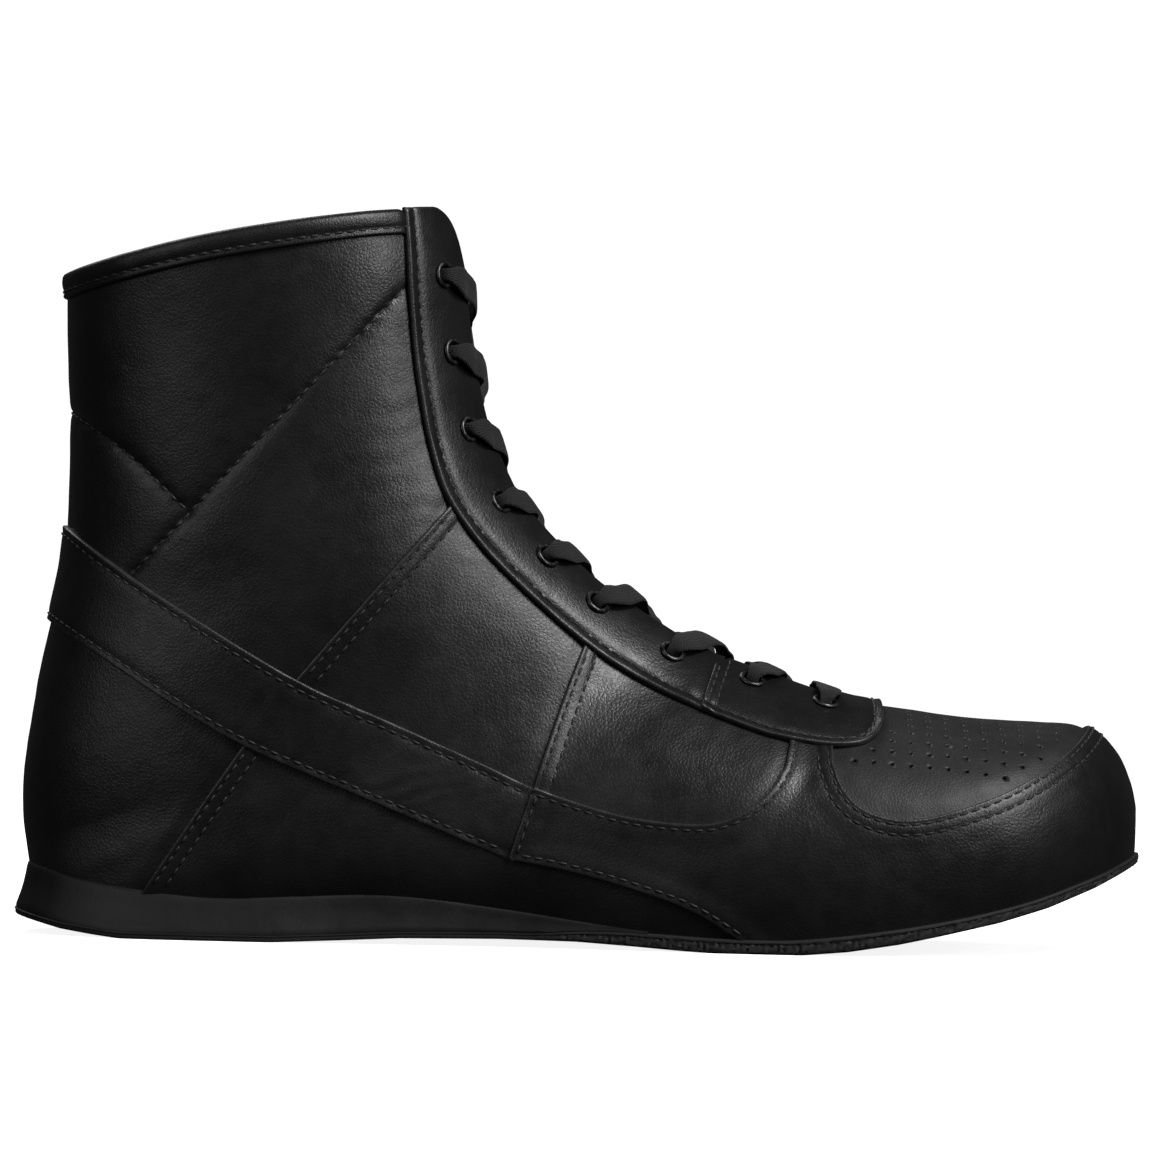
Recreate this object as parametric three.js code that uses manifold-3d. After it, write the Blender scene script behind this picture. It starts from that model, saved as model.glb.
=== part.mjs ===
// A high-top leather boxing boot for the right foot, as a three.js scene graph of separate pieces.
// Units are millimetres. +X points to the toe, +Z up, and the lateral (outer) side of the foot is -Y.
// The upper is built on a "last": a smooth foot-shaped surface made of slanted sections that fan
// from the level collar, round the heel, to the upright toe. Leather panels are shells at stated
// heights over that surface, cut out by outlines drawn in side view.
import * as THREE from "three";
import { mergeVertices } from "three/addons/utils/BufferGeometryUtils.js";
import Module from "manifold-3d";

const wasm = await Module();
wasm.setup();

// ---------------------------------------------------------------- driving dimensions
const BOOT_LENGTH = 294; // last, heel to toe
const BOOT_HEIGHT = 192; // floor to the top of the collar
const BALL_WIDTH = 99; // last, across the ball of the foot
const GAP = 0.3; // between pieces that touch
const SEAM = 0.4; // between two panels that butt
const FLATNESS = 0.12; // facets closer to flat than this are merged
const LEATHER = 1.3;
const LINING_INSIDE = 1.6; // lining and its foam, inside the last surface
const LINING_OUTSIDE = 1.0; // foam outside it, where the stiffeners are let in
const STIFFENER = 0.8; // heel counter and toe puff
const BINDING_HEIGHT = 6.5;
const BINDING_LEATHER = 1.0;
const THROAT_TOP = 28; // opening between the eyestays at the collar
const THROAT_TOE = 24; // and at its toe end
const THROAT_LENGTH = 190.3; // along the front of the last, from its top
const EYELET_BORE = 2.4; // radii
const EYELET_BARREL = 2.7;
const EYELET_FLANGE = 3.5;
const EYELET_METAL = 0.5;
const EYELET_SETBACK = 9; // eyelet centre to the throat edge, along the leather
const EYELET_FIRST = 27.2; // first eyelet below the top of the last, along its front
const EYELET_PITCHES = [20.3, 21.3, 21.5, 19.6, 18.6, 23.6, 20.2, 17.6];
const LACE_WIDTH = 7;
const LACE_THICK = 1.1;
const LACE_TAIL = 112; // hidden end inside the shaft, below the first eyelet
const AGLET_LENGTH = 18;
const TONGUE_THICK = 4;
const TONGUE_HALF_WIDTH = 33; // along its curve
const OUTSOLE_HEEL = 1.6; // outsole thickness under the heel wedge
const WELT = 1.0; // outsole past the upper at the forefoot
const HEEL_FLARE = 3.6; // heel wedge past the upper at the floor
const BOARD = 1.5;
const SOCK_LINER = 4;

// heights over the last surface
const QUARTER_IN = LINING_OUTSIDE + GAP;
const QUARTER_OUT = QUARTER_IN + LEATHER;
const OVERLAY_IN = QUARTER_OUT + GAP;
const OVERLAY_OUT = OVERLAY_IN + LEATHER;
const EYELET_LIFT = 2 * GAP; // clear of the curved leather
const EYELET_HEAD = EYELET_LIFT + EYELET_METAL; // over the eyestay
const EYELET_TAIL = OVERLAY_OUT + LINING_INSIDE + 2.5 * GAP + EYELET_METAL; // under the eyestay's face
const LACE_UNDER = LINING_INSIDE + 4.5 * GAP + EYELET_METAL + LACE_THICK / 2;
const TONGUE_OUT = LACE_UNDER + LACE_THICK / 2 + 3 * GAP;

// The outlines below are drawn for this length, height and ball width, and scaled from them.
const DRAWN_LENGTH = 294;
const DRAWN_HEIGHT = 192;
const DRAWN_BALL = 99;
const DRAWN_FRONT = 280.5; // length of the front ridge
const kx = BOOT_LENGTH / DRAWN_LENGTH;
const ky = BALL_WIDTH / DRAWN_BALL;
const kz = BOOT_HEIGHT / DRAWN_HEIGHT;

// ---------------------------------------------------------------- the last
// Each section runs from a point on the front ridge to a point on the back or under the sole.
// half: lateral and medial half width, widest: where along the section, base: lateral and medial
// half width at the sole, crown and heel: roundness of the front and back (2 is an ellipse),
// wall: 2 closes round at the back, 1 stands as a side wall on the sole.
const STATIONS = [
  { front: [-42.5, 201], back: [-135.4, 182], half: [37, 37], widest: 0.52,
    base: [0, 0], crown: 2.35, heel: 2.1, wall: 2.1 },
  { front: [-35.2, 178.6], back: [-134.9, 161], half: [37, 37], widest: 0.52,
    base: [0, 0], crown: 2.35, heel: 2.1, wall: 2.1 },
  { front: [-32, 156], back: [-134.1, 140], half: [36.6, 36.6], widest: 0.51,
    base: [0, 0], crown: 2.35, heel: 2.1, wall: 2.1 },
  { front: [-27, 134], back: [-133.7, 120], half: [36.6, 36.4], widest: 0.5,
    base: [0, 0], crown: 2.35, heel: 2.1, wall: 2.1 },
  { front: [-18.5, 115.5], back: [-134.3, 101], half: [37, 36.6], widest: 0.49,
    base: [0, 0], crown: 2.33, heel: 2.1, wall: 2.1 },
  { front: [-7, 102.8], back: [-137, 84], half: [37.2, 36.6], widest: 0.48,
    base: [0, 0], crown: 2.3, heel: 2.1, wall: 2.1 },
  { front: [4.5, 92.8], back: [-141.4, 63], half: [37.2, 36.4], widest: 0.48,
    base: [0, 0], crown: 2.27, heel: 2.2, wall: 2.2 },
  { front: [15, 86.2], back: [-144.2, 42], half: [37, 36.2], widest: 0.48,
    base: [0, 0], crown: 2.25, heel: 2.4, wall: 2.2 },
  { front: [24, 80.8], back: [-143.2, 24], half: [37.2, 36.2], widest: 0.48,
    base: [0, 0], crown: 2.25, heel: 2.5, wall: 2.1 },
  { front: [31, 77.2], back: [-138.7, 12.5], half: [37.8, 36.4], widest: 0.49,
    base: [9, 9], crown: 2.25, heel: 2.5, wall: 1.9 },
  { front: [37, 74.4], back: [-124, 8], half: [38.6, 36.8], widest: 0.5,
    base: [22, 22], crown: 2.25, heel: 2.4, wall: 1.6 },
  { front: [43, 71.8], back: [-98, 5], half: [39.8, 37.4], widest: 0.51,
    base: [27.5, 26.5], crown: 2.27, heel: 2.3, wall: 1.3 },
  { front: [51, 68.8], back: [-62, 6.5], half: [42, 38.6], widest: 0.54,
    base: [29, 24], crown: 2.3, heel: 2.2, wall: 1.1 },
  { front: [60, 65.4], back: [-22, 4], half: [45.6, 40.6], widest: 0.57,
    base: [33, 23], crown: 2.25, heel: 2.1, wall: 1 },
  { front: [72, 62], back: [19, -1], half: [49.6, 44], widest: 0.6,
    base: [41, 30], crown: 2.2, heel: 2.1, wall: 1 },
  { front: [88, 60.1], back: [55, -2], half: [51.4, 47.2], widest: 0.6,
    base: [45.5, 40.5], crown: 2.15, heel: 2.1, wall: 1 },
  { front: [105, 58.4], back: [86, 1], half: [49.2, 46.6], widest: 0.58,
    base: [44, 41.5], crown: 2.25, heel: 2.1, wall: 1 },
  { front: [120, 57.8], back: [111, 7], half: [42.5, 42.2], widest: 0.56,
    base: [36.5, 37], crown: 2.3, heel: 2.1, wall: 1 },
  { front: [131, 57], back: [127.8, 12.8], half: [32.6, 33.6], widest: 0.54,
    base: [27, 28], crown: 2.3, heel: 2.1, wall: 1 },
  { front: [138.5, 52.6], back: [137.3, 17.4], half: [22, 23], widest: 0.53,
    base: [18, 19], crown: 2.25, heel: 2.1, wall: 1 },
  { front: [142.8, 45], back: [142.2, 20.6], half: [12, 12.6], widest: 0.52,
    base: [9.5, 10], crown: 2.2, heel: 2.1, wall: 1 },
  { front: [144.6, 38], back: [144.2, 23], half: [0, 0], widest: 0.5,
    base: [0, 0], crown: 2.2, heel: 2.1, wall: 1 },
];
const curveOf = (f) => new THREE.CatmullRomCurve3(STATIONS.map(f), false, "catmullrom", 0.5);
const frontCurve = curveOf((s) => new THREE.Vector3(s.front[0] * kx, 0, s.front[1] * kz));
const backCurve = curveOf((s) => new THREE.Vector3(s.back[0] * kx, 0, s.back[1] * kz));
const halfCurve = curveOf((s) => new THREE.Vector3(s.half[0] * ky, s.half[1] * ky, s.widest));
const baseCurve = curveOf((s) => new THREE.Vector3(s.base[0] * ky, s.base[1] * ky, 0));
const shapeCurve = curveOf((s) => new THREE.Vector3(s.crown, s.heel, s.wall));

// The section at u (0 collar, 1 toe): its ends and the numbers that shape it.
function section(u) {
  const half = halfCurve.getPoint(u);
  const base = baseCurve.getPoint(u);
  const shape = shapeCurve.getPoint(u);
  return {
    front: frontCurve.getPoint(u),
    back: backCurve.getPoint(u),
    widest: half.z,
    half: [Math.max(half.x, 0), Math.max(half.y, 0)],
    base: [Math.max(base.x, 0), Math.max(base.y, 0)],
    crown: shape.x,
    heel: shape.y,
    wall: shape.z,
  };
}

// A point of a section. w runs from -1 (lateral end) through 0 (front ridge) to 1 (medial end).
function sectionPoint(sec, w) {
  const side = w < 0 ? 0 : 1;
  const a = Math.min(Math.abs(w), 1);
  const half = sec.half[side];
  const base = Math.min(sec.base[side], half);
  let along;
  let out;
  if (a < 0.5) {
    along = sec.widest * (1 - Math.cos(a * Math.PI) ** (2 / sec.crown));
    out = half * Math.sin(a * Math.PI) ** (2 / sec.crown);
  } else {
    const angle = (a - 0.5) * Math.PI;
    along = sec.widest + (1 - sec.widest) * Math.min(Math.sin(angle), 1) ** (2 / sec.heel);
    out = base + (half - base) * Math.max(Math.cos(angle), 0) ** (2 / sec.wall);
  }
  const p = new THREE.Vector3().lerpVectors(sec.front, sec.back, along);
  p.y = side === 0 ? -out : out;
  return p;
}

// The true surface at (u, w), moved out by height along its normal.
const truePoint = (u, w, height) => sectionPoint(section(u), w).addScaledVector(lastNormal(u, w), height);

function lastNormal(u, w) {
  const du = 2e-3;
  const dw = 4e-3;
  const u0 = Math.max(u - du, 0);
  const u1 = Math.min(u + du, 1);
  const w0 = Math.max(w - dw, -1);
  const w1 = Math.min(w + dw, 1);
  const mid = section(u);
  const alongU = sectionPoint(section(u1), w).sub(sectionPoint(section(u0), w));
  const alongW = sectionPoint(mid, w1).sub(sectionPoint(mid, w0));
  const n = alongU.cross(alongW).normalize();
  const onAxis = Math.abs(sectionPoint(mid, w).y) < 1e-3;
  if (onAxis) n.setY(0).normalize();
  return n;
}

// ---------------------------------------------------------------- solids
function toSolid(geometry) {
  const g = geometry.index ? geometry.toNonIndexed() : geometry.clone();
  g.deleteAttribute("normal");
  g.deleteAttribute("uv");
  const merged = mergeVertices(g, 1e-4);
  const index = [];
  const source = merged.index.array;
  for (let i = 0; i < source.length; i += 3) {
    const [a, b, c] = [source[i], source[i + 1], source[i + 2]];
    if (a !== b && b !== c && a !== c) index.push(a, b, c);
  }
  const mesh = new wasm.Mesh({
    numProp: 3,
    vertProperties: merged.attributes.position.array,
    triVerts: new Uint32Array(index),
  });
  return new wasm.Manifold(mesh);
}

function toGeometry(solid) {
  const mesh = solid.simplify(FLATNESS).getMesh();
  const count = mesh.numVert;
  const position = new Float32Array(count * 3);
  for (let i = 0; i < count; i++) {
    position.set(mesh.vertProperties.subarray(i * mesh.numProp, i * mesh.numProp + 3), i * 3);
  }
  const geometry = new THREE.BufferGeometry();
  geometry.setAttribute("position", new THREE.BufferAttribute(position, 3));
  geometry.setIndex(new THREE.BufferAttribute(mesh.triVerts, 1));
  geometry.computeVertexNormals();
  return geometry;
}

// A closed skin over rings of points that all have the same count, with flat caps on its ends.
function loft(rings) {
  const count = rings[0].length;
  const position = [];
  const put = (...points) => points.forEach((p) => position.push(p.x, p.y, p.z));
  for (let i = 0; i + 1 < rings.length; i++) {
    for (let j = 0; j < count; j++) {
      const k = (j + 1) % count;
      put(rings[i][j], rings[i + 1][j], rings[i][k]);
      put(rings[i][k], rings[i + 1][j], rings[i + 1][k]);
    }
  }
  const first = rings[0];
  const last = rings[rings.length - 1];
  for (let j = 1; j + 1 < count; j++) {
    put(first[0], first[j], first[j + 1]);
    put(last[0], last[j + 1], last[j]);
  }
  const geometry = new THREE.BufferGeometry();
  geometry.setAttribute("position", new THREE.Float32BufferAttribute(position, 3));
  return geometry;
}

const LENGTHWISE = 26; // facets along the last
const AROUND = 9; // facets from the ridge down one side, closer together near the ridge
const CROWDING = 1.2;

// The rings of corners of the last surface moved out by height.
const grids = new Map();
function lastRings(height) {
  const key = height.toFixed(3);
  if (!grids.has(key)) {
    const rings = [];
    for (let i = 0; i <= LENGTHWISE; i++) {
      const ring = [];
      for (let j = -AROUND; j <= AROUND; j++) {
        const w = Math.sign(j) * (Math.abs(j) / AROUND) ** CROWDING;
        const p = truePoint(i / LENGTHWISE, w, height);
        if (i === LENGTHWISE) p.y = 0;
        ring.push(p);
      }
      rings.push(ring);
    }
    grids.set(key, rings);
  }
  return grids.get(key);
}

// The faceted surface at (u, w) and height, on which every small piece is placed.
function lastPoint(u, w, height = 0) {
  const rings = lastRings(height);
  const row = THREE.MathUtils.clamp(u, 0, 1) * LENGTHWISE;
  const column = AROUND + Math.sign(w) * Math.min(Math.abs(w), 1) ** (1 / CROWDING) * AROUND;
  const i = Math.min(Math.floor(row), LENGTHWISE - 1);
  const j = Math.min(Math.floor(column), 2 * AROUND - 1);
  const near = rings[i][j].clone().lerp(rings[i][j + 1], column - j);
  const far = rings[i + 1][j].clone().lerp(rings[i + 1][j + 1], column - j);
  return near.lerp(far, row - i);
}

// Everything inside the last surface moved out by height.
const volumes = new Map();
function lastVolume(height) {
  const key = height.toFixed(3);
  if (!volumes.has(key)) volumes.set(key, toSolid(loft(lastRings(height))));
  return volumes.get(key);
}

const shell = (inside, outside) => lastVolume(outside).subtract(lastVolume(inside));

// A side-view outline as points, scaled to the boot.
const draw = (points) => points.map(([x, z]) => new THREE.Vector2(x * kx, z * kz));
const smooth = (points, steps) => new THREE.SplineCurve(draw(points)).getPoints(steps);

// A side-view outline extruded across the boot, from y0 to y1.
function prism(outline, y0 = -90, y1 = 90) {
  const geometry = new THREE.ExtrudeGeometry(new THREE.Shape(outline),
    { depth: y1 - y0, bevelEnabled: false });
  return toSolid(geometry.rotateX(Math.PI / 2).translate(0, y1, 0));
}

// A thin blade along a side-view curve, which parts two panels.
function blade(points, width = SEAM) {
  const left = [];
  const right = [];
  points.forEach((p, i) => {
    const before = points[Math.max(i - 1, 0)];
    const after = points[Math.min(i + 1, points.length - 1)];
    const across = new THREE.Vector2(before.y - after.y, after.x - before.x).setLength(width / 2);
    left.push(p.clone().add(across));
    right.unshift(p.clone().sub(across));
  });
  return prism([...left, ...right]);
}

// ---------------------------------------------------------------- side-view curves
const COLLAR = smooth([
  [-152, 168.5], [-138, 173.5], [-120, 178.7], [-97, 184.1], [-70, 188.8], [-48, 191.6],
  [-20, 193],
], 9);
const DIAGONAL_SEAM = draw([[-16, 137], [-38, 111], [-74, 68.3], [-80, 60]]);
const MIDDLE_SEAM = draw([[9, 100], [0, 77.6], [-5.6, 61.8], [-11.8, 41.5]]);
const BAND_MIDDLE = smooth([
  [-155, 103], [-139, 95], [-124, 85.5], [-107, 75], [-80, 60], [-50, 45.6], [-15, 32.2],
], 9);
const BAND_TOP = smooth([
  [-158, 119], [-138, 108], [-124.3, 98.7], [-105.7, 86.7], [-73.9, 68.3], [-47.5, 57],
  [-11.8, 41.5],
], 10);
const BAND_BOTTOM = smooth([
  [-158, 92], [-141, 82.6], [-126.4, 73.8], [-107.9, 62.3], [-88, 51.2], [-60.2, 39.7],
  [-33.8, 29.2], [-18, 23],
], 10);
const MUDGUARD_CURVE = smooth([
  [58, 84], [54.2, 54], [51.8, 45.9], [46.5, 39.3], [38.5, 34.6], [29, 33.2], [10.6, 35.1],
  [-11.8, 41.5],
], 14);
const MUDGUARD_BACK = draw([[-11.8, 41.5], [-15, 32.2], [-18, 23]]);
const MUDGUARD_LOWER = smooth([[-18, 23], [-2.2, 20.4], [16.3, 15.6], [32, 9.8], [50, -2]], 5);
const LOWER_SEAM = draw([[-80, 60], [-87.4, 50.9], [-112, 14], [-122, -2]]);
const VAMP_EDGE = smooth([
  [65.5, 80], [65.5, 53.2], [66.4, 47.2], [69, 41.8], [74, 37.6], [81.5, 35.6], [89.5, 36],
  [100, 38.8], [110.5, 42.8], [120.6, 48.4], [128.4, 54], [135.5, 61],
], 17);
const EYESTAY_EDGE = smooth([
  [-51, 205], [-48.6, 184], [-47.2, 168.4], [-45.6, 153], [-43.9, 142.2], [-41.1, 129.2],
  [-36.6, 116.2], [-28, 104.4], [-16.7, 93], [0, 78.8], [15.2, 69.3], [31, 62.2], [46.9, 56.4],
  [57.4, 54.2], [67.4, 53.4], [74, 54.4], [78, 57.6], [79, 62], [77.6, 72],
], 25);
const THROAT_JOINT = draw([[29.4, 56], [31, 62], [38, 84]]);
const SOLE_TOP = smooth([
  [-154, 20], [-140, 17], [-130.5, 14.6], [-117, 12.6], [-96, 10.6], [-73, 11.6], [-46.6, 12.3],
  [-20, 9.6], [11, 5.5], [27, 4.2], [45, 3.6], [58, 3.9], [77, 6.2], [98, 9.8], [116, 14.2],
  [131.5, 19.6], [140.6, 23.3], [156, 31],
], 26);
const SOLE_BOTTOM = draw([
  [-150, 7], [-144, 4.6], [-133, 1.9], [-125, 0.8], [-118, 0], [-80, 0], [-60, 1], [-46, 1.8],
  [-20, 2.2], [0, 2], [15, 1.2], [27, 0.4], [35, 0], [58, 0], [70, 1.1], [83, 3.2], [96, 6],
  [109, 9], [122, 12.9], [135, 18.1], [142, 21.5], [150, 25.5],
]);

// Height of a side-view curve at x.
function heightOn(curve, x) {
  let i = 0;
  while (i + 2 < curve.length && curve[i + 1].x < x) i++;
  const [a, b] = [curve[i], curve[i + 1]];
  return THREE.MathUtils.mapLinear(x, a.x, b.x, a.y, b.y);
}
const shifted = (curve, dz) => curve.map((p) => new THREE.Vector2(p.x, p.y + dz));

// ---------------------------------------------------------------- places on the last
// Arc length along a section from the front ridge, as a table of w, for placing by distance.
function acrossToW(u, distance, height = 0) {
  const steps = 60;
  const sign = Math.sign(distance) || 1;
  const sec = section(u);
  let before = sectionPoint(sec, 0);
  let run = 0;
  for (let i = 1; i <= steps; i++) {
    const w = (sign * i) / steps;
    const here = sectionPoint(sec, w);
    const step = here.distanceTo(before);
    if (run + step >= Math.abs(distance)) {
      return sign * ((i - 1 + (Math.abs(distance) - run) / step) / steps);
    }
    run += step;
    before = here;
  }
  return sign;
}

// u at a distance along the front ridge from the top of the last.
const FRONT_STEPS = 400;
const frontRun = [0];
for (let i = 1; i <= FRONT_STEPS; i++) {
  const step = frontCurve.getPoint(i / FRONT_STEPS).distanceTo(frontCurve.getPoint((i - 1) / FRONT_STEPS));
  frontRun.push(frontRun[i - 1] + step);
}
const kf = frontRun[FRONT_STEPS] / DRAWN_FRONT;
function frontToU(distance) {
  let i = 0;
  while (i + 2 < frontRun.length && frontRun[i + 1] < distance) i++;
  return (i + (distance - frontRun[i]) / (frontRun[i + 1] - frontRun[i])) / FRONT_STEPS;
}

const THROAT_END = frontToU(THROAT_LENGTH * kf);
const throatHalf = (u) => THREE.MathUtils.lerp(THROAT_TOP, THROAT_TOE, Math.min(u / THROAT_END, 1)) / 2;

// A point given by u, the distance across from the ridge and the height.
const place = (u, across, height) => lastPoint(u, acrossToW(u, across), height);

// ---------------------------------------------------------------- eyelets
const eyelets = [];
// u of the front ridge beside a point, seen from the side.
function ridgeNear(p) {
  let best = 0;
  let least = Infinity;
  for (let i = 0; i <= FRONT_STEPS; i++) {
    const q = frontCurve.getPoint(i / FRONT_STEPS);
    const distance = Math.hypot(q.x - p.x, q.z - p.z);
    if (distance < least) [best, least] = [i / FRONT_STEPS, distance];
  }
  return best;
}
for (const side of [-1, 1]) {
  let run = EYELET_FIRST * kf;
  for (let k = 0; k <= EYELET_PITCHES.length; k++) {
    const u = frontToU(run);
    const across = side * (throatHalf(u) + EYELET_SETBACK);
    const w = acrossToW(u, across);
    const name = `eyelet_${side < 0 ? "lateral" : "medial"}_${k + 1}`;
    const centre = lastPoint(u, w, OVERLAY_OUT);
    const out = centre.clone().sub(lastPoint(u, w, -LINING_INSIDE)).normalize();
    eyelets.push({ name, side, k, u, across, centre, ridge: ridgeNear(centre), out });
    run += (EYELET_PITCHES[k] ?? 0) * kf;
  }
}

// A ring set in the leather: outer head, barrel and rolled inner rim, turned about its axis.
function eyeletGeometry() {
  const outline = [
    [EYELET_BORE, -EYELET_TAIL],
    [EYELET_FLANGE, -EYELET_TAIL],
    [EYELET_FLANGE, EYELET_METAL - EYELET_TAIL],
    [EYELET_BARREL, EYELET_METAL - EYELET_TAIL],
    [EYELET_BARREL, EYELET_LIFT],
    [EYELET_FLANGE, EYELET_LIFT],
    [EYELET_FLANGE, EYELET_HEAD],
    [EYELET_BORE, EYELET_HEAD],
    [EYELET_BORE, -EYELET_TAIL],
  ];
  return new THREE.LatheGeometry(outline.map(([r, h]) => new THREE.Vector2(r, h)), 8);
}

function setOnLeather(object, eyelet) {
  object.position.copy(eyelet.centre);
  object.quaternion.setFromUnitVectors(new THREE.Vector3(0, 1, 0), eyelet.out);
  object.updateMatrix();
  return object;
}

// The holes punched for them.
const eyeletRoom = eyelets.map((eyelet) => {
  const hole = new THREE.CylinderGeometry(EYELET_BARREL + GAP, EYELET_BARREL + GAP, 24, 8);
  const cutter = setOnLeather(new THREE.Mesh(hole), eyelet);
  return toSolid(cutter.geometry.applyMatrix4(cutter.matrix));
});
const punched = (solid) => eyeletRoom.reduce((left, room) => left.subtract(room), solid);

// ---------------------------------------------------------------- openings and regions
// The slot between the eyestays, from above the collar to its toe end.
function throatCutter() {
  const rings = [];
  const steps = 26;
  for (let i = 0; i <= steps; i++) {
    const u = (THROAT_END * i) / steps;
    const half = throatHalf(u);
    const sec = section(u);
    const inward = sec.back.clone().sub(sec.front).normalize();
    const deep = sec.front.clone().addScaledVector(inward, 14);
    const high = sec.front.clone().addScaledVector(inward, -14);
    if (i === 0) [deep, high].forEach((p) => (p.z += 12));
    rings.push([
      new THREE.Vector3(deep.x, -half, deep.z),
      new THREE.Vector3(high.x, -half, high.z),
      new THREE.Vector3(high.x, half, high.z),
      new THREE.Vector3(deep.x, half, deep.z),
    ]);
  }
  return toSolid(loft(rings));
}
const throat = throatCutter();

const corner = (x, z) => new THREE.Vector2(x * kx, z * kz);
const backwards = (curve) => [...curve].reverse();
const trimTop = shifted(COLLAR, -BINDING_LEATHER - GAP);
const onSole = shifted(SOLE_TOP, GAP / 2);
const upperRegion = prism([...trimTop, corner(170, 150), ...backwards(onSole), corner(-170, 20),
  corner(-170, 165)]);

const wholeSide = draw([[-200, -50], [200, -50], [200, 260], [-200, 260]]);
const lateral = (solid) => solid.intersect(prism(wholeSide, -120, -SEAM / 2));
const medial = (solid) => solid.intersect(prism(wholeSide, SEAM / 2, 120));
const largest = (solid) => solid.decompose().sort((a, b) => b.volume() - a.volume())[0];

// ---------------------------------------------------------------- upper: linings and stiffeners
const inTrim = (solid) => solid.intersect(upperRegion).subtract(throat);
const COUNTER_TOP = draw([[-170, 84], [-120, 72], [-92, 40], [-78, -10], [-170, -10]]);
const PUFF_BACK = draw([[104, -20], [112, 30], [116, 80], [180, 80], [180, -20]]);
const onBoard = prism([...shifted(SOLE_TOP, GAP), corner(170, 200), corner(-170, 200)]);
const stiffenerShell = shell(0, STIFFENER).intersect(onBoard);
const heelCounter = largest(stiffenerShell.intersect(prism(COUNTER_TOP)));
const toePuff = largest(stiffenerShell.intersect(prism(PUFF_BACK)));
const pocketShell = shell(-GAP, LINING_OUTSIDE + 2);
const grown = (outline, centre) =>
  outline.map((p) => p.clone().sub(centre).setLength(p.distanceTo(centre) + 2 * GAP).add(centre));
const counterPocket = pocketShell.intersect(prism(grown(COUNTER_TOP, corner(-135, 30))));
const puffPocket = pocketShell.intersect(prism(grown(PUFF_BACK, corner(150, 30))));
const liningShell = shell(-LINING_INSIDE, LINING_OUTSIDE).subtract(counterPocket).subtract(puffPocket);
const lining = largest(punched(inTrim(liningShell)));

// ---------------------------------------------------------------- upper: leather panels
const seams = [DIAGONAL_SEAM, MIDDLE_SEAM, BAND_MIDDLE, MUDGUARD_CURVE, MUDGUARD_BACK, MUDGUARD_LOWER,
  LOWER_SEAM, VAMP_EDGE];
const quarterShell = seams.reduce((left, seam) => left.subtract(blade(seam)),
  inTrim(shell(QUARTER_IN, QUARTER_OUT)));
const quarter = (outline) => punched(quarterShell.intersect(prism(outline)));
const upTo = (curve, x) => curve.filter((p) => p.x < x * kx);
const from = (curve, x) => curve.filter((p) => p.x > x * kx);
const bandBehindJunction = upTo(BAND_MIDDLE, -81);
const bandAfterJunction = from(BAND_MIDDLE, -79);
const junction = corner(-80, 60);

const shaftOutline = [corner(-170, 230), corner(60, 230), corner(60, 190), ...DIAGONAL_SEAM,
  ...backwards(bandBehindJunction), corner(-170, 108)];
const middleRearOutline = [corner(20, 160), ...MIDDLE_SEAM, ...backwards(bandAfterJunction),
  ...backwards(DIAGONAL_SEAM)];
const middleFrontOutline = [...backwards(MIDDLE_SEAM), corner(40, 130), ...MUDGUARD_CURVE.slice(0, -1)];
const lowerQuarterOutline = [junction, ...bandAfterJunction, ...MUDGUARD_BACK.slice(2),
  ...MUDGUARD_LOWER.slice(1), corner(50, -20), corner(-122, -20),
  ...backwards(LOWER_SEAM).slice(0, -1)];
const heelOutline = [corner(-170, 112), ...bandBehindJunction, ...LOWER_SEAM, corner(-122, -20),
  corner(-170, -20)];
const mudguardOutline = [...MUDGUARD_CURVE, ...MUDGUARD_BACK.slice(1), ...MUDGUARD_LOWER.slice(1),
  corner(50, -20), corner(190, -20), corner(190, 100), corner(60, 100)];
const vampOutline = [...VAMP_EDGE, corner(140, 90), corner(65.5, 90)];

// ---------------------------------------------------------------- upper: overlays
const overlayShell = shell(OVERLAY_IN, OVERLAY_OUT).intersect(prism([...shifted(COLLAR, 0),
  corner(190, 200), ...backwards(onSole), corner(-190, 20), corner(-190, 165)]));
const eyestaySide = [...EYESTAY_EDGE, corner(80, 120), corner(0, 230), corner(-51, 230)];
const eyestayShell = punched(
  overlayShell.subtract(throat).subtract(blade(THROAT_JOINT)).intersect(prism(eyestaySide))
);
const rearOfJoint = prism([corner(-90, 230), corner(38, 230), ...backwards(THROAT_JOINT), corner(-90, 20)]);
const frontOfJoint = prism([corner(120, 100), ...backwards(THROAT_JOINT), corner(120, 20)]);
const bandOutline = [...BAND_TOP, ...backwards(BAND_BOTTOM)];
const ankleBand = largest(overlayShell.intersect(prism(bandOutline)));

// A channel of leather folded over the collar's edge, from one eyestay round the back to the other.
function collarBinding() {
  const region = [...COLLAR, ...backwards(shifted(COLLAR, -BINDING_HEIGHT * kz))];
  const inner = LINING_INSIDE + GAP;
  const outside = shell(-inner - BINDING_LEATHER, OVERLAY_OUT).intersect(prism(region));
  const core = shell(-inner, OVERLAY_IN).intersect(prism([...shifted(COLLAR, -BINDING_LEATHER),
    corner(0, 100), corner(-170, 100)]));
  const behindEyestay = prism([corner(-170, 230), ...EYESTAY_EDGE.slice(0, 8), corner(-170, 100)]);
  const eyestayGap = blade(EYESTAY_EDGE.slice(0, 8), 2 * SEAM);
  return largest(outside.subtract(core).intersect(behindEyestay).subtract(eyestayGap));
}

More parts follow.
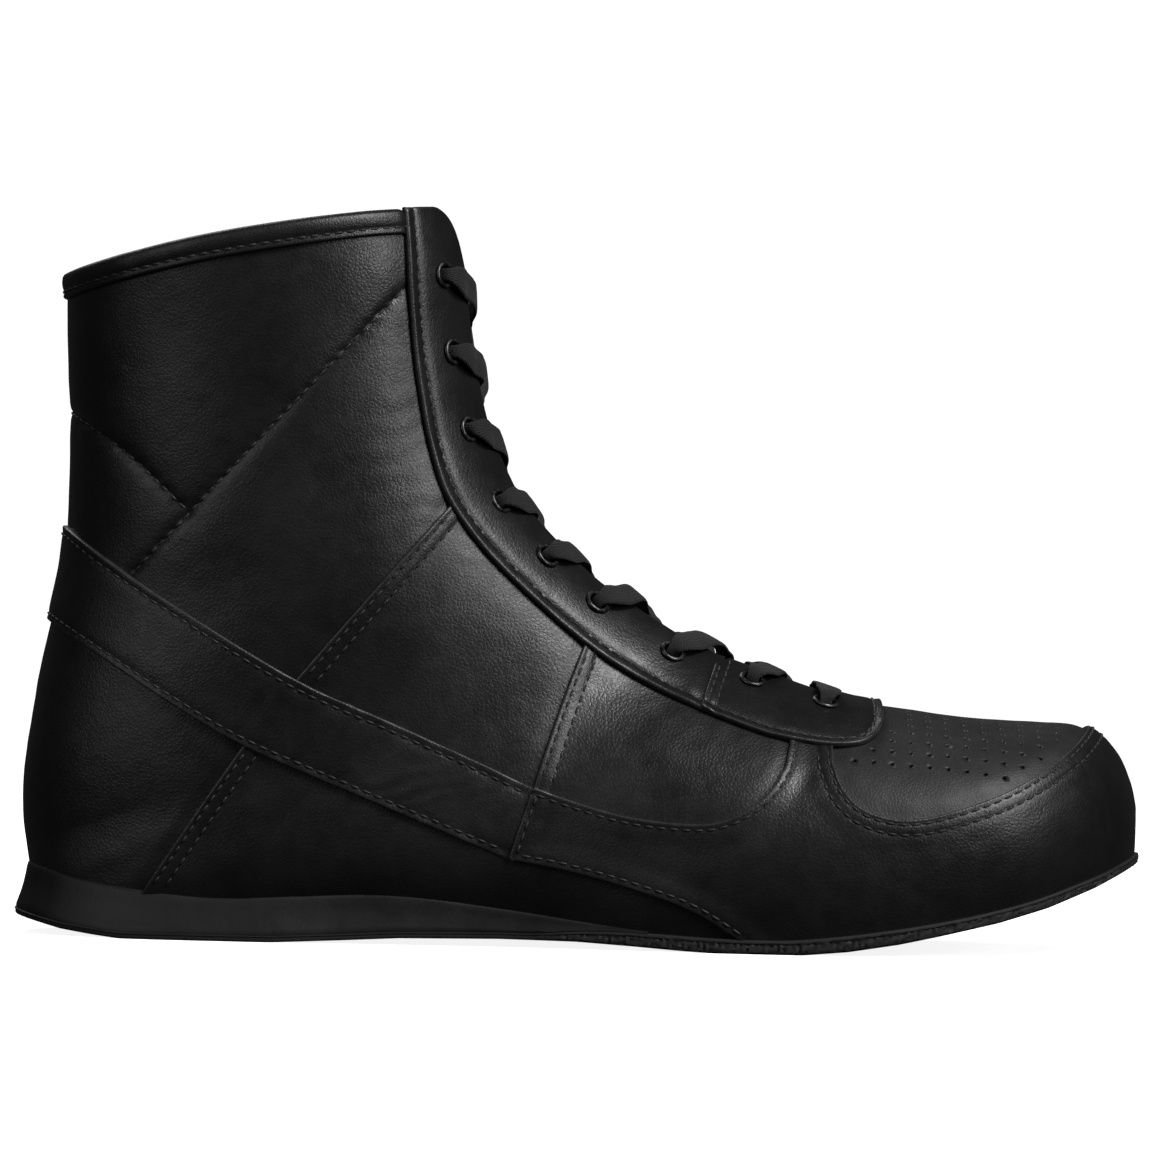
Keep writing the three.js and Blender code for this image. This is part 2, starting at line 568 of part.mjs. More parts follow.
// ---------------------------------------------------------------- tongue
const TONGUE_TOP = 12; // its ends, along the front of the last from its top
const TONGUE_END = 198.2;
function tongueGeometry() {
  const rings = [];
  const steps = 16;
  const around = 6;
  const top = frontToU(TONGUE_TOP * kf);
  const toe = frontToU(TONGUE_END * kf);
  for (let i = 0; i <= steps; i++) {
    const u = THREE.MathUtils.lerp(top, toe, i / steps);
    const narrow = Math.min(1, 0.86 + i / 5) * TONGUE_HALF_WIDTH * THREE.MathUtils.lerp(1, 0.74, i / steps);
    const outer = [];
    const inner = [];
    for (let j = 0; j <= around; j++) {
      const across = narrow * (-1 + (2 * j) / around);
      const edge = Math.abs(across / narrow) > 0.99;
      outer.push(place(u, across, -TONGUE_OUT));
      inner.unshift(place(u, across * 0.99, -TONGUE_OUT - (edge ? 0.5 : 1) * TONGUE_THICK));
    }
    rings.push([...outer, ...inner]);
  }
  return loft(rings);
}

// ---------------------------------------------------------------- lace
// The lace's half on one side, from its hidden tail up out of eyelet 1 and down to the toe end.
// Points are [u, distance across, height, width, thickness]; side -1 is lateral.
const OVER = OVERLAY_OUT + GAP + LACE_THICK / 2;
const OVER_HEAD = OVERLAY_OUT + EYELET_HEAD + GAP + LACE_THICK / 2 + 0.3;
const BUNCHED = LACE_WIDTH * 0.57; // its width where strands cross, and in the eyelets
const IN_BORE = 3;
const BORE_THICK = 1.3;
const eyeletAt = (k, side) => eyelets.find((e) => e.k === k && e.side === side);
const rise = (e) => [
  [e.u, e.across, -LACE_UNDER + 1.3, IN_BORE, BORE_THICK],
  [e.u, e.across, OVERLAY_OUT + 0.8, IN_BORE, BORE_THICK],
];
// From eyelet k on one side, over its eyestay, across the tongue and under the other eyestay to
// the next eyelet there. One strand of each pair rides over the other in the middle.
function crossing(k, side, rides) {
  const a = eyeletAt(k, side);
  const b = eyeletAt(k + 1, -side);
  const start = Math.abs(a.across);
  const end = -Math.abs(b.across);
  const edgeA = throatHalf(a.u);
  const edgeB = throatHalf(b.u);
  const point = (x, height, width, thick = LACE_THICK) => {
    const f = (start - x) / (start - end);
    const slanted = THREE.MathUtils.lerp(a.u, b.u, f);
    const straight = THREE.MathUtils.lerp(a.ridge, b.ridge, f);
    const reach = Math.abs(x / THREE.MathUtils.lerp(start, end, f > 0.5 ? 1 : 0));
    return [THREE.MathUtils.lerp(straight, slanted, reach ** 2), side * x, height, width, thick];
  };
  const middle = rides ? [4.4, 3.1, 2.1] : [0.6, -0.7, -2.5];
  return [
    ...rise(a),
    point(start - 1.3, OVER_HEAD + 0.1, BUNCHED, LACE_THICK),
    point(start - 3.8, OVER_HEAD, LACE_WIDTH * 0.9),
    point(start - 6.6, OVER + 0.2, LACE_WIDTH),
    point(edgeA - 2.6, OVER + 0.3, LACE_WIDTH * 0.75),
    point(4.6, middle[0], BUNCHED),
    point(0, middle[1], BUNCHED),
    point(-4.6, middle[2], BUNCHED),
    point(-edgeB + 2.8, -LACE_UNDER + 0.1, LACE_WIDTH * 0.75),
    point(-edgeB - 2, -LACE_UNDER, LACE_WIDTH * 0.75),
    point(end + 3.4, -LACE_UNDER, BUNCHED),
    point(end + 0.9, -LACE_UNDER + 0.15, IN_BORE, LACE_THICK),
  ];
}
function laceHalf(startSide) {
  const first = eyelets.find((e) => e.k === 0 && e.side === startSide);
  const tailAcross = startSide * (throatHalf(first.u) + EYELET_SETBACK + 13);
  const points = [];
  const tailSteps = 7;
  for (let i = 0; i < tailSteps; i++) {
    const run = EYELET_FIRST * kf + 10 + (LACE_TAIL * kf * (tailSteps - 1 - i)) / (tailSteps - 1);
    points.push([frontToU(run), tailAcross, -LACE_UNDER - 0.2, LACE_WIDTH * 0.8, LACE_THICK]);
  }
  const halfway = startSide * (throatHalf(first.u) + EYELET_SETBACK + 7);
  points.push([frontToU(EYELET_FIRST * kf + 3), halfway, -LACE_UNDER - 0.1, 4.6, LACE_THICK]);
  points.push([first.u, first.across + startSide * 0.9, -LACE_UNDER + 0.15, IN_BORE, LACE_THICK]);
  let side = startSide;
  for (let k = 0; k < EYELET_PITCHES.length; k++) {
    points.push(...crossing(k, side, (side < 0) === (k % 2 === 0)));
    side = -side;
  }
  // Up through the last eyelet and into the bar that joins the two halves.
  const last = eyeletAt(EYELET_PITCHES.length, side);
  const bar = (inward, height, width) => {
    const across = last.across - side * inward;
    const u = THREE.MathUtils.lerp(last.ridge, last.u, (across / last.across) ** 2);
    return [u, across, height, width, LACE_THICK];
  };
  points.push(...rise(last), bar(1.3, OVER_HEAD + 0.1, BUNCHED), bar(3.8, OVER_HEAD, LACE_WIDTH * 0.9));
  points.push(bar(6.6, OVER + 0.3, LACE_WIDTH), bar(12, OVER + 0.1, LACE_WIDTH),
    bar(18, OVER - 0.5, LACE_WIDTH));
  return points;
}
const laceRoute = [...laceHalf(-1), ...laceHalf(1).reverse()];

// A flat band swept along the route, with its width across the way it runs and along the leather.
function laceGeometry() {
  const centres = laceRoute.map(([u, across, height]) => place(u, across, height));
  const curve = new THREE.CatmullRomCurve3(centres, false, "centripetal");
  const sizes = new THREE.CatmullRomCurve3(laceRoute.map((r) => new THREE.Vector3(r[3], r[4], 0)),
    false, "centripetal");
  const spots = new THREE.CatmullRomCurve3(laceRoute.map((r) => new THREE.Vector3(r[0] * 100, r[1], 0)),
    false, "centripetal");
  const count = laceRoute.length - 1;
  const rings = [];
  let across = null;
  for (let i = 0; i <= count; i++) {
    const t = i / count;
    const centre = curve.getPoint(t);
    const tangent = curve.getTangent(t);
    const spot = spots.getPoint(t);
    const normal = lastNormal(spot.x / 100, acrossToW(spot.x / 100, spot.y));
    let wide = new THREE.Vector3().crossVectors(normal, tangent);
    if (across && wide.length() < 0.5) wide = across.clone().addScaledVector(tangent, -across.dot(tangent));
    else if (across && wide.dot(across) < 0) wide.negate();
    wide.normalize();
    across = wide;
    const thick = new THREE.Vector3().crossVectors(tangent, wide).normalize();
    const size = sizes.getPoint(t);
    const corners = [[1, -1], [-1, -1], [-1, 1], [1, 1]];
    rings.push(corners.map(([a, b]) =>
      centre.clone().addScaledVector(wide, (a * size.x) / 2).addScaledVector(thick, (b * size.y) / 2)));
  }
  return { rings, geometry: loft(rings) };
}

// ---------------------------------------------------------------- sole
// Plan points where the upper's outer face meets the sole, from the heel's end to the toe's tip.
function featherPoint(u, side) {
  let low = 0.4;
  let high = 1;
  for (let i = 0; i < 30; i++) {
    const w = (low + high) / 2;
    const p = lastPoint(u, side * w, QUARTER_OUT);
    if (p.z > heightOn(SOLE_TOP, p.x)) low = w;
    else high = w;
  }
  return lastPoint(u, side * low, QUARTER_OUT);
}
const SOLE_STEPS = 24;
const HEEL_U = (() => {
  let u = 0.3;
  while (lastPoint(u, 1, QUARTER_OUT).z > heightOn(SOLE_TOP, lastPoint(u, 1, QUARTER_OUT).x)) u += 5e-4;
  return u;
})();
const soleU = [...Array(SOLE_STEPS + 1).keys()].map(
  (i) => THREE.MathUtils.lerp(HEEL_U, 1, (1 - Math.cos((Math.PI * i) / SOLE_STEPS)) / 2)
);
function soleEdge(side) {
  const points = soleU.map((u) => featherPoint(u, side));
  points[0].y = 0;
  points[points.length - 1].y = 0;
  return points.map((p, i) => {
    const before = points[Math.max(i - 1, 0)];
    const after = points[Math.min(i + 1, points.length - 1)];
    const out = new THREE.Vector3(before.y - after.y, after.x - before.x, 0)
      .multiplyScalar(side)
      .normalize();
    if (i === 0) out.set(-1, 0, 0);
    if (i === points.length - 1) out.set(1, 0, 0);
    return { p, out };
  });
}
const edges = [soleEdge(-1), soleEdge(1)];

// A layer of the sole. reach: how far past the upper at the top and at the bottom, by x.
function soleLayer(top, bottom, reachTop, reachBottom) {
  const rings = [];
  soleU.forEach((_, i) => {
    const at = (side, level, reach) => {
      const { p, out } = edges[side][i];
      const q = p.clone().addScaledVector(out, reach(p.x));
      q.z = level(q.x);
      return q;
    };
    rings.push([at(0, bottom, reachBottom), at(0, top, reachTop), at(1, top, reachTop),
      at(1, bottom, reachBottom)]);
  });
  return toSolid(loft(rings)).intersect(underUpper);
}
const soleBottom = (x) => heightOn(SOLE_BOTTOM, x);
const soleTop = (x) => heightOn(SOLE_TOP, x) + 1;
const underUpper = prism([...shifted(SOLE_TOP, -GAP / 2), corner(170, -20), corner(-170, -20)]);
const ease = (x, a, b) => THREE.MathUtils.smoothstep(x, a * kx, b * kx);
const outsoleTop = (x) => THREE.MathUtils.lerp(soleBottom(x) + OUTSOLE_HEEL, soleTop(x), ease(x, -14, 24));
const flare = (x) => THREE.MathUtils.lerp(HEEL_FLARE, WELT, ease(x, -120, 10));
const rim = (x) => THREE.MathUtils.lerp(0.4, WELT, ease(x, -60, 30));
const WEDGE_FRONT = 4; // where it has run out to a thin edge
const behindFront = prism([corner(WEDGE_FRONT, -20), corner(WEDGE_FRONT, 60), corner(-170, 60),
  corner(-170, -20)]);
const wedge = soleLayer(soleTop, (x) => outsoleTop(x) + GAP, rim, flare).intersect(behindFront);
const outsole = soleLayer(outsoleTop, soleBottom, flare, flare);

// Board and removable sock liner, lying inside the lining.
const inside = lastVolume(-LINING_INSIDE - GAP);
const slab = (low, high) => prism([...shifted(SOLE_TOP, low), ...backwards(shifted(SOLE_TOP, high))]);
const board = largest(inside.intersect(slab(GAP, GAP + BOARD)));
const sockLiner = largest(inside.intersect(slab(2 * GAP + BOARD, 2 * GAP + BOARD + SOCK_LINER)));

// ---------------------------------------------------------------- materials
const material = (color, roughness, metalness = 0) =>
  new THREE.MeshStandardMaterial({ color, roughness, metalness });
const leather = material(0x141414, 0.42);
const matteLeather = material(0x161616, 0.62);
const rubber = material(0x121212, 0.8);
const smoothWedge = material(0x151515, 0.5);
const textile = material(0x1a1a1a, 0.95);
const stiff = material(0x3a3630, 0.8);
const boardStock = material(0x8a7355, 0.9);
const blackMetal = material(0x2a2a2c, 0.35, 0.9);
const laceWeave = material(0x101010, 0.9);
const gloss = material(0x0c0c0c, 0.25);

// ---------------------------------------------------------------- assembly
const boot = new THREE.Group();
function add(name, shape, look) {
  const geometry = shape.isBufferGeometry ? toGeometry(toSolid(shape)) : toGeometry(shape);
  const mesh = new THREE.Mesh(geometry, look);
  mesh.name = name;
  boot.add(mesh);
}

add("outsole", outsole, rubber);
add("heel_wedge", wedge, smoothWedge);
add("insole_board", board, boardStock);
add("sock_liner", sockLiner, textile);
add("lining", lining, textile);
add("heel_counter", heelCounter, stiff);
add("toe_puff", toePuff, stiff);
add("mudguard", largest(quarter(mudguardOutline).subtract(prism(vampOutline))), leather);
add("vamp", largest(quarter(vampOutline)), matteLeather);
add("heel_foxing", largest(quarter(heelOutline)), leather);
for (const [hand, half] of [["lateral", lateral], ["medial", medial]]) {
  add(`shaft_panel_${hand}`, largest(half(quarter(shaftOutline))), leather);
  add(`middle_quarter_${hand}`, largest(half(quarter(middleRearOutline))), leather);
  add(`front_quarter_${hand}`, largest(half(quarter(middleFrontOutline))), leather);
  add(`lower_quarter_${hand}`, largest(half(quarter(lowerQuarterOutline))), leather);
  add(`eyestay_${hand}`, largest(half(eyestayShell.intersect(rearOfJoint))), leather);
}
add("throat_stay", largest(eyestayShell.intersect(frontOfJoint)), leather);
add("ankle_band", ankleBand, leather);
add("collar_binding", collarBinding(), leather);
add("tongue", tongueGeometry(), leather);
for (const eyelet of eyelets) {
  const mesh = setOnLeather(new THREE.Mesh(eyeletGeometry(), blackMetal), eyelet);
  mesh.name = eyelet.name;
  boot.add(mesh);
}
const { rings: laceRings, geometry: lace } = laceGeometry();
add("lace", lace, laceWeave);

// A plastic tip pressed on each end of the lace.
function aglet(end, next) {
  const middle = (ring) =>
    ring.reduce((sum, p) => sum.add(p), new THREE.Vector3()).divideScalar(ring.length);
  const start = middle(end);
  const away = start.clone().sub(middle(next)).normalize();
  const mesh = new THREE.Mesh(new THREE.CylinderGeometry(1, 0.9, AGLET_LENGTH, 8), gloss);
  mesh.position.copy(start).addScaledVector(away, AGLET_LENGTH / 2 + GAP);
  mesh.quaternion.setFromUnitVectors(new THREE.Vector3(0, -1, 0), away);
  return mesh;
}
const tips = [
  ["aglet_lateral", laceRings[0], laceRings[1]],
  ["aglet_medial", laceRings[laceRings.length - 1], laceRings[laceRings.length - 2]],
];
for (const [name, end, next] of tips) {
  const mesh = aglet(end, next);
  mesh.name = name;
  boot.add(mesh);
}

// The frame: on the floor, in the middle of the boot's box.
const box = new THREE.Box3().setFromObject(boot);
const middle = box.getCenter(new THREE.Vector3());
boot.position.set(-middle.x, -middle.y, -box.min.z);

export default boot;
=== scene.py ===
"""Looks of a black leather boxing boot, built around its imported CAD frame."""
import math

import bpy
import numpy as np
from mathutils import Matrix, Vector, kdtree


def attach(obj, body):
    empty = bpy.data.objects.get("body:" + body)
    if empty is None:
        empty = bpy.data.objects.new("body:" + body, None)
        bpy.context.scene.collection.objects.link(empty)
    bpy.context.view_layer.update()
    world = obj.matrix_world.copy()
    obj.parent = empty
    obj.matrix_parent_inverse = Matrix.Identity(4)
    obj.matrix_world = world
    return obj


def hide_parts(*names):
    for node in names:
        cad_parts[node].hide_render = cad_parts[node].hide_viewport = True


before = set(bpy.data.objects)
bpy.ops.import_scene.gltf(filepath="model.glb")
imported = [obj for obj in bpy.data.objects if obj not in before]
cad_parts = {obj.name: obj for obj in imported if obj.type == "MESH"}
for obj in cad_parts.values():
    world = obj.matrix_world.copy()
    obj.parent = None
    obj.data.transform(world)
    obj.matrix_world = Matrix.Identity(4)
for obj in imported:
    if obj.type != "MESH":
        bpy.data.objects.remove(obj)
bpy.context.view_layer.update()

MM = 0.001
SHIFT = np.array([-0.268, 1.842, 0.0])  # from the last's own frame to the row frame, mm

# ------------------------------------------------------------------ the last, as in part.mjs
# front x z, back x z, half width lateral medial, widest, base lateral medial, crown, heel, wall
STATIONS = np.array([
    (-42.5, 201, -135.4, 182, 37, 37, 0.52, 0, 0, 2.35, 2.1, 2.1),
    (-35.2, 178.6, -134.9, 161, 37, 37, 0.52, 0, 0, 2.35, 2.1, 2.1),
    (-32, 156, -134.1, 140, 36.6, 36.6, 0.51, 0, 0, 2.35, 2.1, 2.1),
    (-27, 134, -133.7, 120, 36.6, 36.4, 0.5, 0, 0, 2.35, 2.1, 2.1),
    (-18.5, 115.5, -134.3, 101, 37, 36.6, 0.49, 0, 0, 2.33, 2.1, 2.1),
    (-7, 102.8, -137, 84, 37.2, 36.6, 0.48, 0, 0, 2.3, 2.1, 2.1),
    (4.5, 92.8, -141.4, 63, 37.2, 36.4, 0.48, 0, 0, 2.27, 2.2, 2.2),
    (15, 86.2, -144.2, 42, 37, 36.2, 0.48, 0, 0, 2.25, 2.4, 2.2),
    (24, 80.8, -143.2, 24, 37.2, 36.2, 0.48, 0, 0, 2.25, 2.5, 2.1),
    (31, 77.2, -138.7, 12.5, 37.8, 36.4, 0.49, 9, 9, 2.25, 2.5, 1.9),
    (37, 74.4, -124, 8, 38.6, 36.8, 0.5, 22, 22, 2.25, 2.4, 1.6),
    (43, 71.8, -98, 5, 39.8, 37.4, 0.51, 27.5, 26.5, 2.27, 2.3, 1.3),
    (51, 68.8, -62, 6.5, 42, 38.6, 0.54, 29, 24, 2.3, 2.2, 1.1),
    (60, 65.4, -22, 4, 45.6, 40.6, 0.57, 33, 23, 2.25, 2.1, 1),
    (72, 62, 19, -1, 49.6, 44, 0.6, 41, 30, 2.2, 2.1, 1),
    (88, 60.1, 55, -2, 51.4, 47.2, 0.6, 45.5, 40.5, 2.15, 2.1, 1),
    (105, 58.4, 86, 1, 49.2, 46.6, 0.58, 44, 41.5, 2.25, 2.1, 1),
    (120, 57.8, 111, 7, 42.5, 42.2, 0.56, 36.5, 37, 2.3, 2.1, 1),
    (131, 57, 127.8, 12.8, 32.6, 33.6, 0.54, 27, 28, 2.3, 2.1, 1),
    (138.5, 52.6, 137.3, 17.4, 22, 23, 0.53, 18, 19, 2.25, 2.1, 1),
    (142.8, 45, 142.2, 20.6, 12, 12.6, 0.52, 9.5, 10, 2.2, 2.1, 1),
    (144.6, 38, 144.2, 23, 0, 0, 0.5, 0, 0, 2.2, 2.1, 1),
], float)
WIDTHS = [4, 5, 7, 8]  # the columns that change sign across the middle plane
beyond_toe = STATIONS[-2].copy()
beyond_toe[WIDTHS] *= -1
KNOTS = np.vstack([2 * STATIONS[0] - STATIONS[1], STATIONS, beyond_toe])


def running(points):
    """Length along a line of points, at each point."""
    return np.concatenate([[0], np.cumsum(np.linalg.norm(np.diff(points, axis=0), axis=1))])


def resampled(t, run, points):
    return np.stack([np.interp(t, run, column) for column in points.T], 1)


def unit(vectors):
    return vectors / np.linalg.norm(vectors, axis=-1, keepdims=True)


def hermite(a, b, ta, tb, f):
    return a + ta * f + (3 * (b - a) - 2 * ta - tb) * f**2 + (2 * (a - b) + ta + tb) * f**3


def station(u):
    t = np.clip(u, 0, 1) * (len(STATIONS) - 1)
    i = np.minimum(t.astype(int), len(STATIONS) - 2)
    f = (t - i)[:, None]
    p0, p1, p2, p3 = (KNOTS[i + k] for k in range(4))
    return hermite(p1, p2, (p2 - p0) / 2, (p3 - p1) / 2, f)


def skin(u, w):
    """Points of the last. u: 0 collar to 1 toe. w: -1 lateral end, 0 front ridge, 1 medial end."""
    u, w = np.broadcast_arrays(np.asarray(u, float), np.asarray(w, float))
    s = station(u.ravel())
    w = w.ravel()
    a = np.minimum(np.abs(w), 1)
    half = np.maximum(np.where(w < 0, s[:, 4], s[:, 5]), 0)
    base = np.minimum(np.maximum(np.where(w < 0, s[:, 7], s[:, 8]), 0), half)
    widest, crown, heel, wall = s[:, 6], s[:, 9], s[:, 10], s[:, 11]
    cos, sin = np.clip(np.cos(a * np.pi), 0, 1), np.clip(np.sin(a * np.pi), 0, 1)
    g = np.clip(a - 0.5, 0, 0.5) * np.pi
    near = a < 0.5
    along = np.where(near, widest * (1 - cos ** (2 / crown)),
                     widest + (1 - widest) * np.clip(np.sin(g), 0, 1) ** (2 / heel))
    out = np.where(near, half * sin ** (2 / crown),
                   base + (half - base) * np.clip(np.cos(g), 0, 1) ** (2 / wall))
    front, back = s[:, 0:2], s[:, 2:4]
    p = front + (back - front) * along[:, None]
    return np.stack([p[:, 0], np.sign(w) * out, p[:, 1]], 1)


def normal(u, w):
    u, w = np.broadcast_arrays(np.asarray(u, float), np.asarray(w, float))
    u, w = np.clip(u.ravel(), 0, 0.996), w.ravel()
    along_u = skin(np.clip(u + 2e-3, 0, 1), w) - skin(np.clip(u - 2e-3, 0, 1), w)
    along_w = skin(u, np.clip(w + 4e-3, -1, 1)) - skin(u, np.clip(w - 4e-3, -1, 1))
    n = np.cross(along_u, along_w)
    n[np.abs(skin(u, w)[:, 1]) < 1e-3, 1] = 0
    return n / np.maximum(np.linalg.norm(n, axis=1), 1e-12)[:, None]


def at_height(u, w, h):
    n = normal(u, w)
    tip = np.broadcast_to(np.asarray(u, float), n.shape[:1]) > 0.9999
    n[tip, 1] = 0
    return skin(u, w) + n * np.reshape(h, (-1, 1))


# heights over the last, mm
LEATHER_IN, LEATHER_OUT = 1.3, 2.6
OVERLAY_IN, OVERLAY_OUT = 2.9, 4.2
LINING_IN, LINING_OUT = -1.6, 1.0

# ------------------------------------------------------------------ side-view curves


def spline(points, steps=160):
    p = np.array(points, float)
    t = np.linspace(0, 1, steps + 1) * (len(p) - 1)
    i = np.minimum(t.astype(int), len(p) - 2)
    f = (t - i)[:, None]
    p0, p1, p2, p3 = p[np.maximum(i - 1, 0)], p[i], p[i + 1], p[np.minimum(i + 2, len(p) - 1)]
    return hermite(p1, p2, (p2 - p0) / 2, (p3 - p1) / 2, f)


COLLAR = spline([(-152, 168.5), (-138, 173.5), (-120, 178.7), (-97, 184.1), (-70, 188.8),
                 (-48, 191.6), (-20, 193)])
SOLE_TOP = spline([(-154, 20), (-140, 17), (-130.5, 14.6), (-117, 12.6), (-96, 10.6), (-73, 11.6),
                   (-46.6, 12.3), (-20, 9.6), (11, 5.5), (27, 4.2), (45, 3.6), (58, 3.9),
                   (77, 6.2), (98, 9.8), (116, 14.2), (131.5, 19.6), (140.6, 23.3), (156, 31)])
SOLE_BOTTOM = np.array([(-150, 7), (-144, 4.6), (-133, 1.9), (-125, 0.8), (-118, 0), (-80, 0),
                        (-60, 1), (-46, 1.8), (-20, 2.2), (0, 2), (15, 1.2), (27, 0.4), (35, 0),
                        (58, 0), (70, 1.1), (83, 3.2), (96, 6), (109, 9), (122, 12.9), (135, 18.1),
                        (142, 21.5), (150, 25.5)], float)
DIAGONAL = spline([(12, 171), (-16, 137), (-38, 111), (-74, 68.3), (-80, 60), (-100, 32)], 80)
MIDDLE = spline([(18, 120), (9, 100), (0, 77.6), (-5.6, 61.8), (-11.8, 41.5), (-16, 26)], 80)
BAND_MIDDLE = spline([(-155, 103), (-139, 95), (-124, 85.5), (-107, 75), (-80, 60), (-50, 45.6),
                      (-15, 32.2), (20, 20)], 80)
BAND_TOP = spline([(-158, 119), (-138, 108), (-124.3, 98.7), (-105.7, 86.7), (-73.9, 68.3),
                   (-47.5, 57), (-11.8, 41.5), (20, 28)])
BAND_BOTTOM = spline([(-158, 92), (-141, 82.6), (-126.4, 73.8), (-107.9, 62.3), (-88, 51.2),
                      (-60.2, 39.7), (-33.8, 29.2), (-18, 23), (20, 8)])
FLANK = spline([(58, 84), (54.2, 54), (51.8, 45.9), (46.5, 39.3), (38.5, 34.6), (29, 33.2),
                (10.6, 35.1), (-11.8, 41.5)])
MUD_REAR = np.vstack([spline([(-11.8, 41.5), (-15, 32.2), (-18, 23)], 20),
                      spline([(-18, 23), (-2.2, 20.4), (16.3, 15.6), (32, 9.8), (50, -2)], 60)])
LOWER = spline([(-80, 60), (-87.4, 50.9), (-112, 14), (-122, -2)], 60)
VAMP_EDGE = spline([(65.5, 80), (65.5, 53.2), (66.4, 47.2), (69, 41.8), (74, 37.6), (81.5, 35.6),
                    (89.5, 36), (100, 38.8), (110.5, 42.8), (120.6, 48.4), (128.4, 54),
                    (135.5, 61)], 220)
EYESTAY = spline([(-51, 205), (-48.6, 184), (-47.2, 168.4), (-45.6, 153), (-43.9, 142.2),
                  (-41.1, 129.2), (-36.6, 116.2), (-28, 104.4), (-16.7, 93), (0, 78.8),
                  (15.2, 69.3), (31, 62.2), (46.9, 56.4), (57.4, 54.2), (67.4, 53.4), (74, 54.4),
                  (78, 57.6), (79, 62), (77.6, 72)], 260)
JOINT = spline([(29.4, 52), (31, 62), (38, 84)], 20)
QUILT_A = spline([(-48, 170.2), (-84, 131.5), (-121, 91.5)], 60)
QUILT_B = spline([(-139, 138.2), (-121, 127), (-103.5, 111.5)], 40)

# Each seam's curve, and corners that close the region on its inner side.
BAND_END = spline([(-6, 56), (-11.8, 41.5), (-15, 32.2), (-18, 23), (-23, 8)], 20)
REGION = {
    "rear_of_diagonal": (DIAGONAL, [(-190, -40), (-190, 240), (12, 240)]),
    "rear_of_middle": (MIDDLE, [(-16, -40), (-190, -40), (-190, 240), (18, 240)]),
    "above_band": (BAND_MIDDLE, [(200, 20), (200, 240), (-155, 240)]),
    "under_band_top": (BAND_TOP, [(20, -40), (-200, -40), (-200, 119)]),
    "over_band_bottom": (BAND_BOTTOM, [(20, 240), (-200, 240), (-200, 92)]),
    "flank": (FLANK, [(-60, 57), (-190, 120), (-190, 240), (58, 240)]),
    "behind_mudguard": (MUD_REAR, [(50, -40), (-190, -40), (-190, 120), (-60, 57)]),
    "rear_of_band_end": (BAND_END, [(-23, -40), (-190, -40), (-190, 240), (-6, 240)]),
    "rear_of_mudguard": (MUD_REAR, [(50, -40), (-190, -40), (-190, 240), (-11.8, 240)]),
    "rear_of_lower": (LOWER, [(-122, -40), (-190, -40), (-190, 240), (-80, 240)]),
    "vamp": (VAMP_EDGE, [(140, 100), (65.5, 100)]),
    "eyestay": (EYESTAY, [(80, 120), (0, 240), (-51, 240)]),
    "rear_of_joint": (JOINT, [(38, 240), (-190, 240), (-190, -40), (29.4, -40)]),
    "quilt_a": (QUILT_A, [(-190, 60), (-190, 240), (-48, 240)]),
    "quilt_b": (QUILT_B, [(-80, 80), (-190, 60)]),
}


def inside(p, polygon):
    x, z = p[:, 0:1], p[:, 1:2]
    a, b = polygon, np.roll(polygon, -1, 0)
    crosses = (a[:, 1] > z) != (b[:, 1] > z)
    at = a[:, 0] + (z - a[:, 1]) * (b[:, 0] - a[:, 0]) / np.where(b[:, 1] == a[:, 1], 1e-9, b[:, 1] - a[:, 1])
    return (crosses & (x < at)).sum(1) % 2 == 1


def nearest(p, curve):
    """Side-view distance to a curve, and the unit direction square to its nearest piece."""
    a, b = curve[:-1], curve[1:]
    keep = np.linalg.norm(b - a, axis=1) > 1e-6
    a, b = a[keep], b[keep]
    ab = b - a
    size = (ab**2).sum(1)
    best, which = np.empty(len(p)), np.empty(len(p), int)
    for start in range(0, len(p), 4000):
        q = p[start:start + 4000, None, :]
        t = np.clip(((q - a) * ab).sum(2) / size, 0, 1)
        d = ((q - a - t[..., None] * ab) ** 2).sum(2)
        k = d.argmin(1)
        which[start:start + 4000] = k
        best[start:start + 4000] = np.sqrt(d[np.arange(len(k)), k])
    direction = ab[which] / np.sqrt(size[which])[:, None]
    return best, np.stack([-direction[:, 1], direction[:, 0]], 1)


class Spots:
    """Places on the last, with what the seam fields need to know about them."""

    def __init__(self, uv):
        self.u, self.w = uv[:, 0], uv[:, 1]
        self.n = normal(self.u, self.w)
        self.n[self.u > 0.9999, 1] = 0
        self.p = skin(self.u, self.w)
        outer = self.p + self.n * LEATHER_OUT
        self.side = outer[:, [0, 2]]
        self.y = outer[:, 1]
        self.outer = outer
        self.cache = {}

    def distance(self, key):
        """Distance to a seam's curve, along the leather."""
        if key not in self.cache:
            d, across = nearest(self.side, REGION[key][0])
            lean = (across * self.n[:, [0, 2]]).sum(1)
            self.cache[key] = d / np.sqrt(np.clip(1 - lean**2, 0.16, 1))
        return self.cache[key]

    def field(self, key):
        """Positive inside a region, negative outside."""
        if "s_" + key not in self.cache:
            curve, corners = REGION[key]
            d = self.distance(key)
            polygon = np.vstack([curve, np.array(corners, float)])
            self.cache["s_" + key] = np.where(inside(self.side, polygon), d, -d)
        return self.cache["s_" + key]

    def beside(self, key, distance):
        """Zero on the line that runs at a distance from a seam's curve."""
        return self.distance(key) - distance if distance else self.field(key)


# ------------------------------------------------------------------ places on the last
FRONT_STEPS = 800
front_line = skin(np.linspace(0, 1, FRONT_STEPS + 1), np.zeros(FRONT_STEPS + 1))
front_run = running(front_line)
THROAT_LENGTH, THROAT_TOP, THROAT_TOE = 190.3, 28.0, 24.0


def front_to_u(distance):
    return np.interp(distance, front_run, np.linspace(0, 1, FRONT_STEPS + 1))


THROAT_END = float(front_to_u(THROAT_LENGTH))


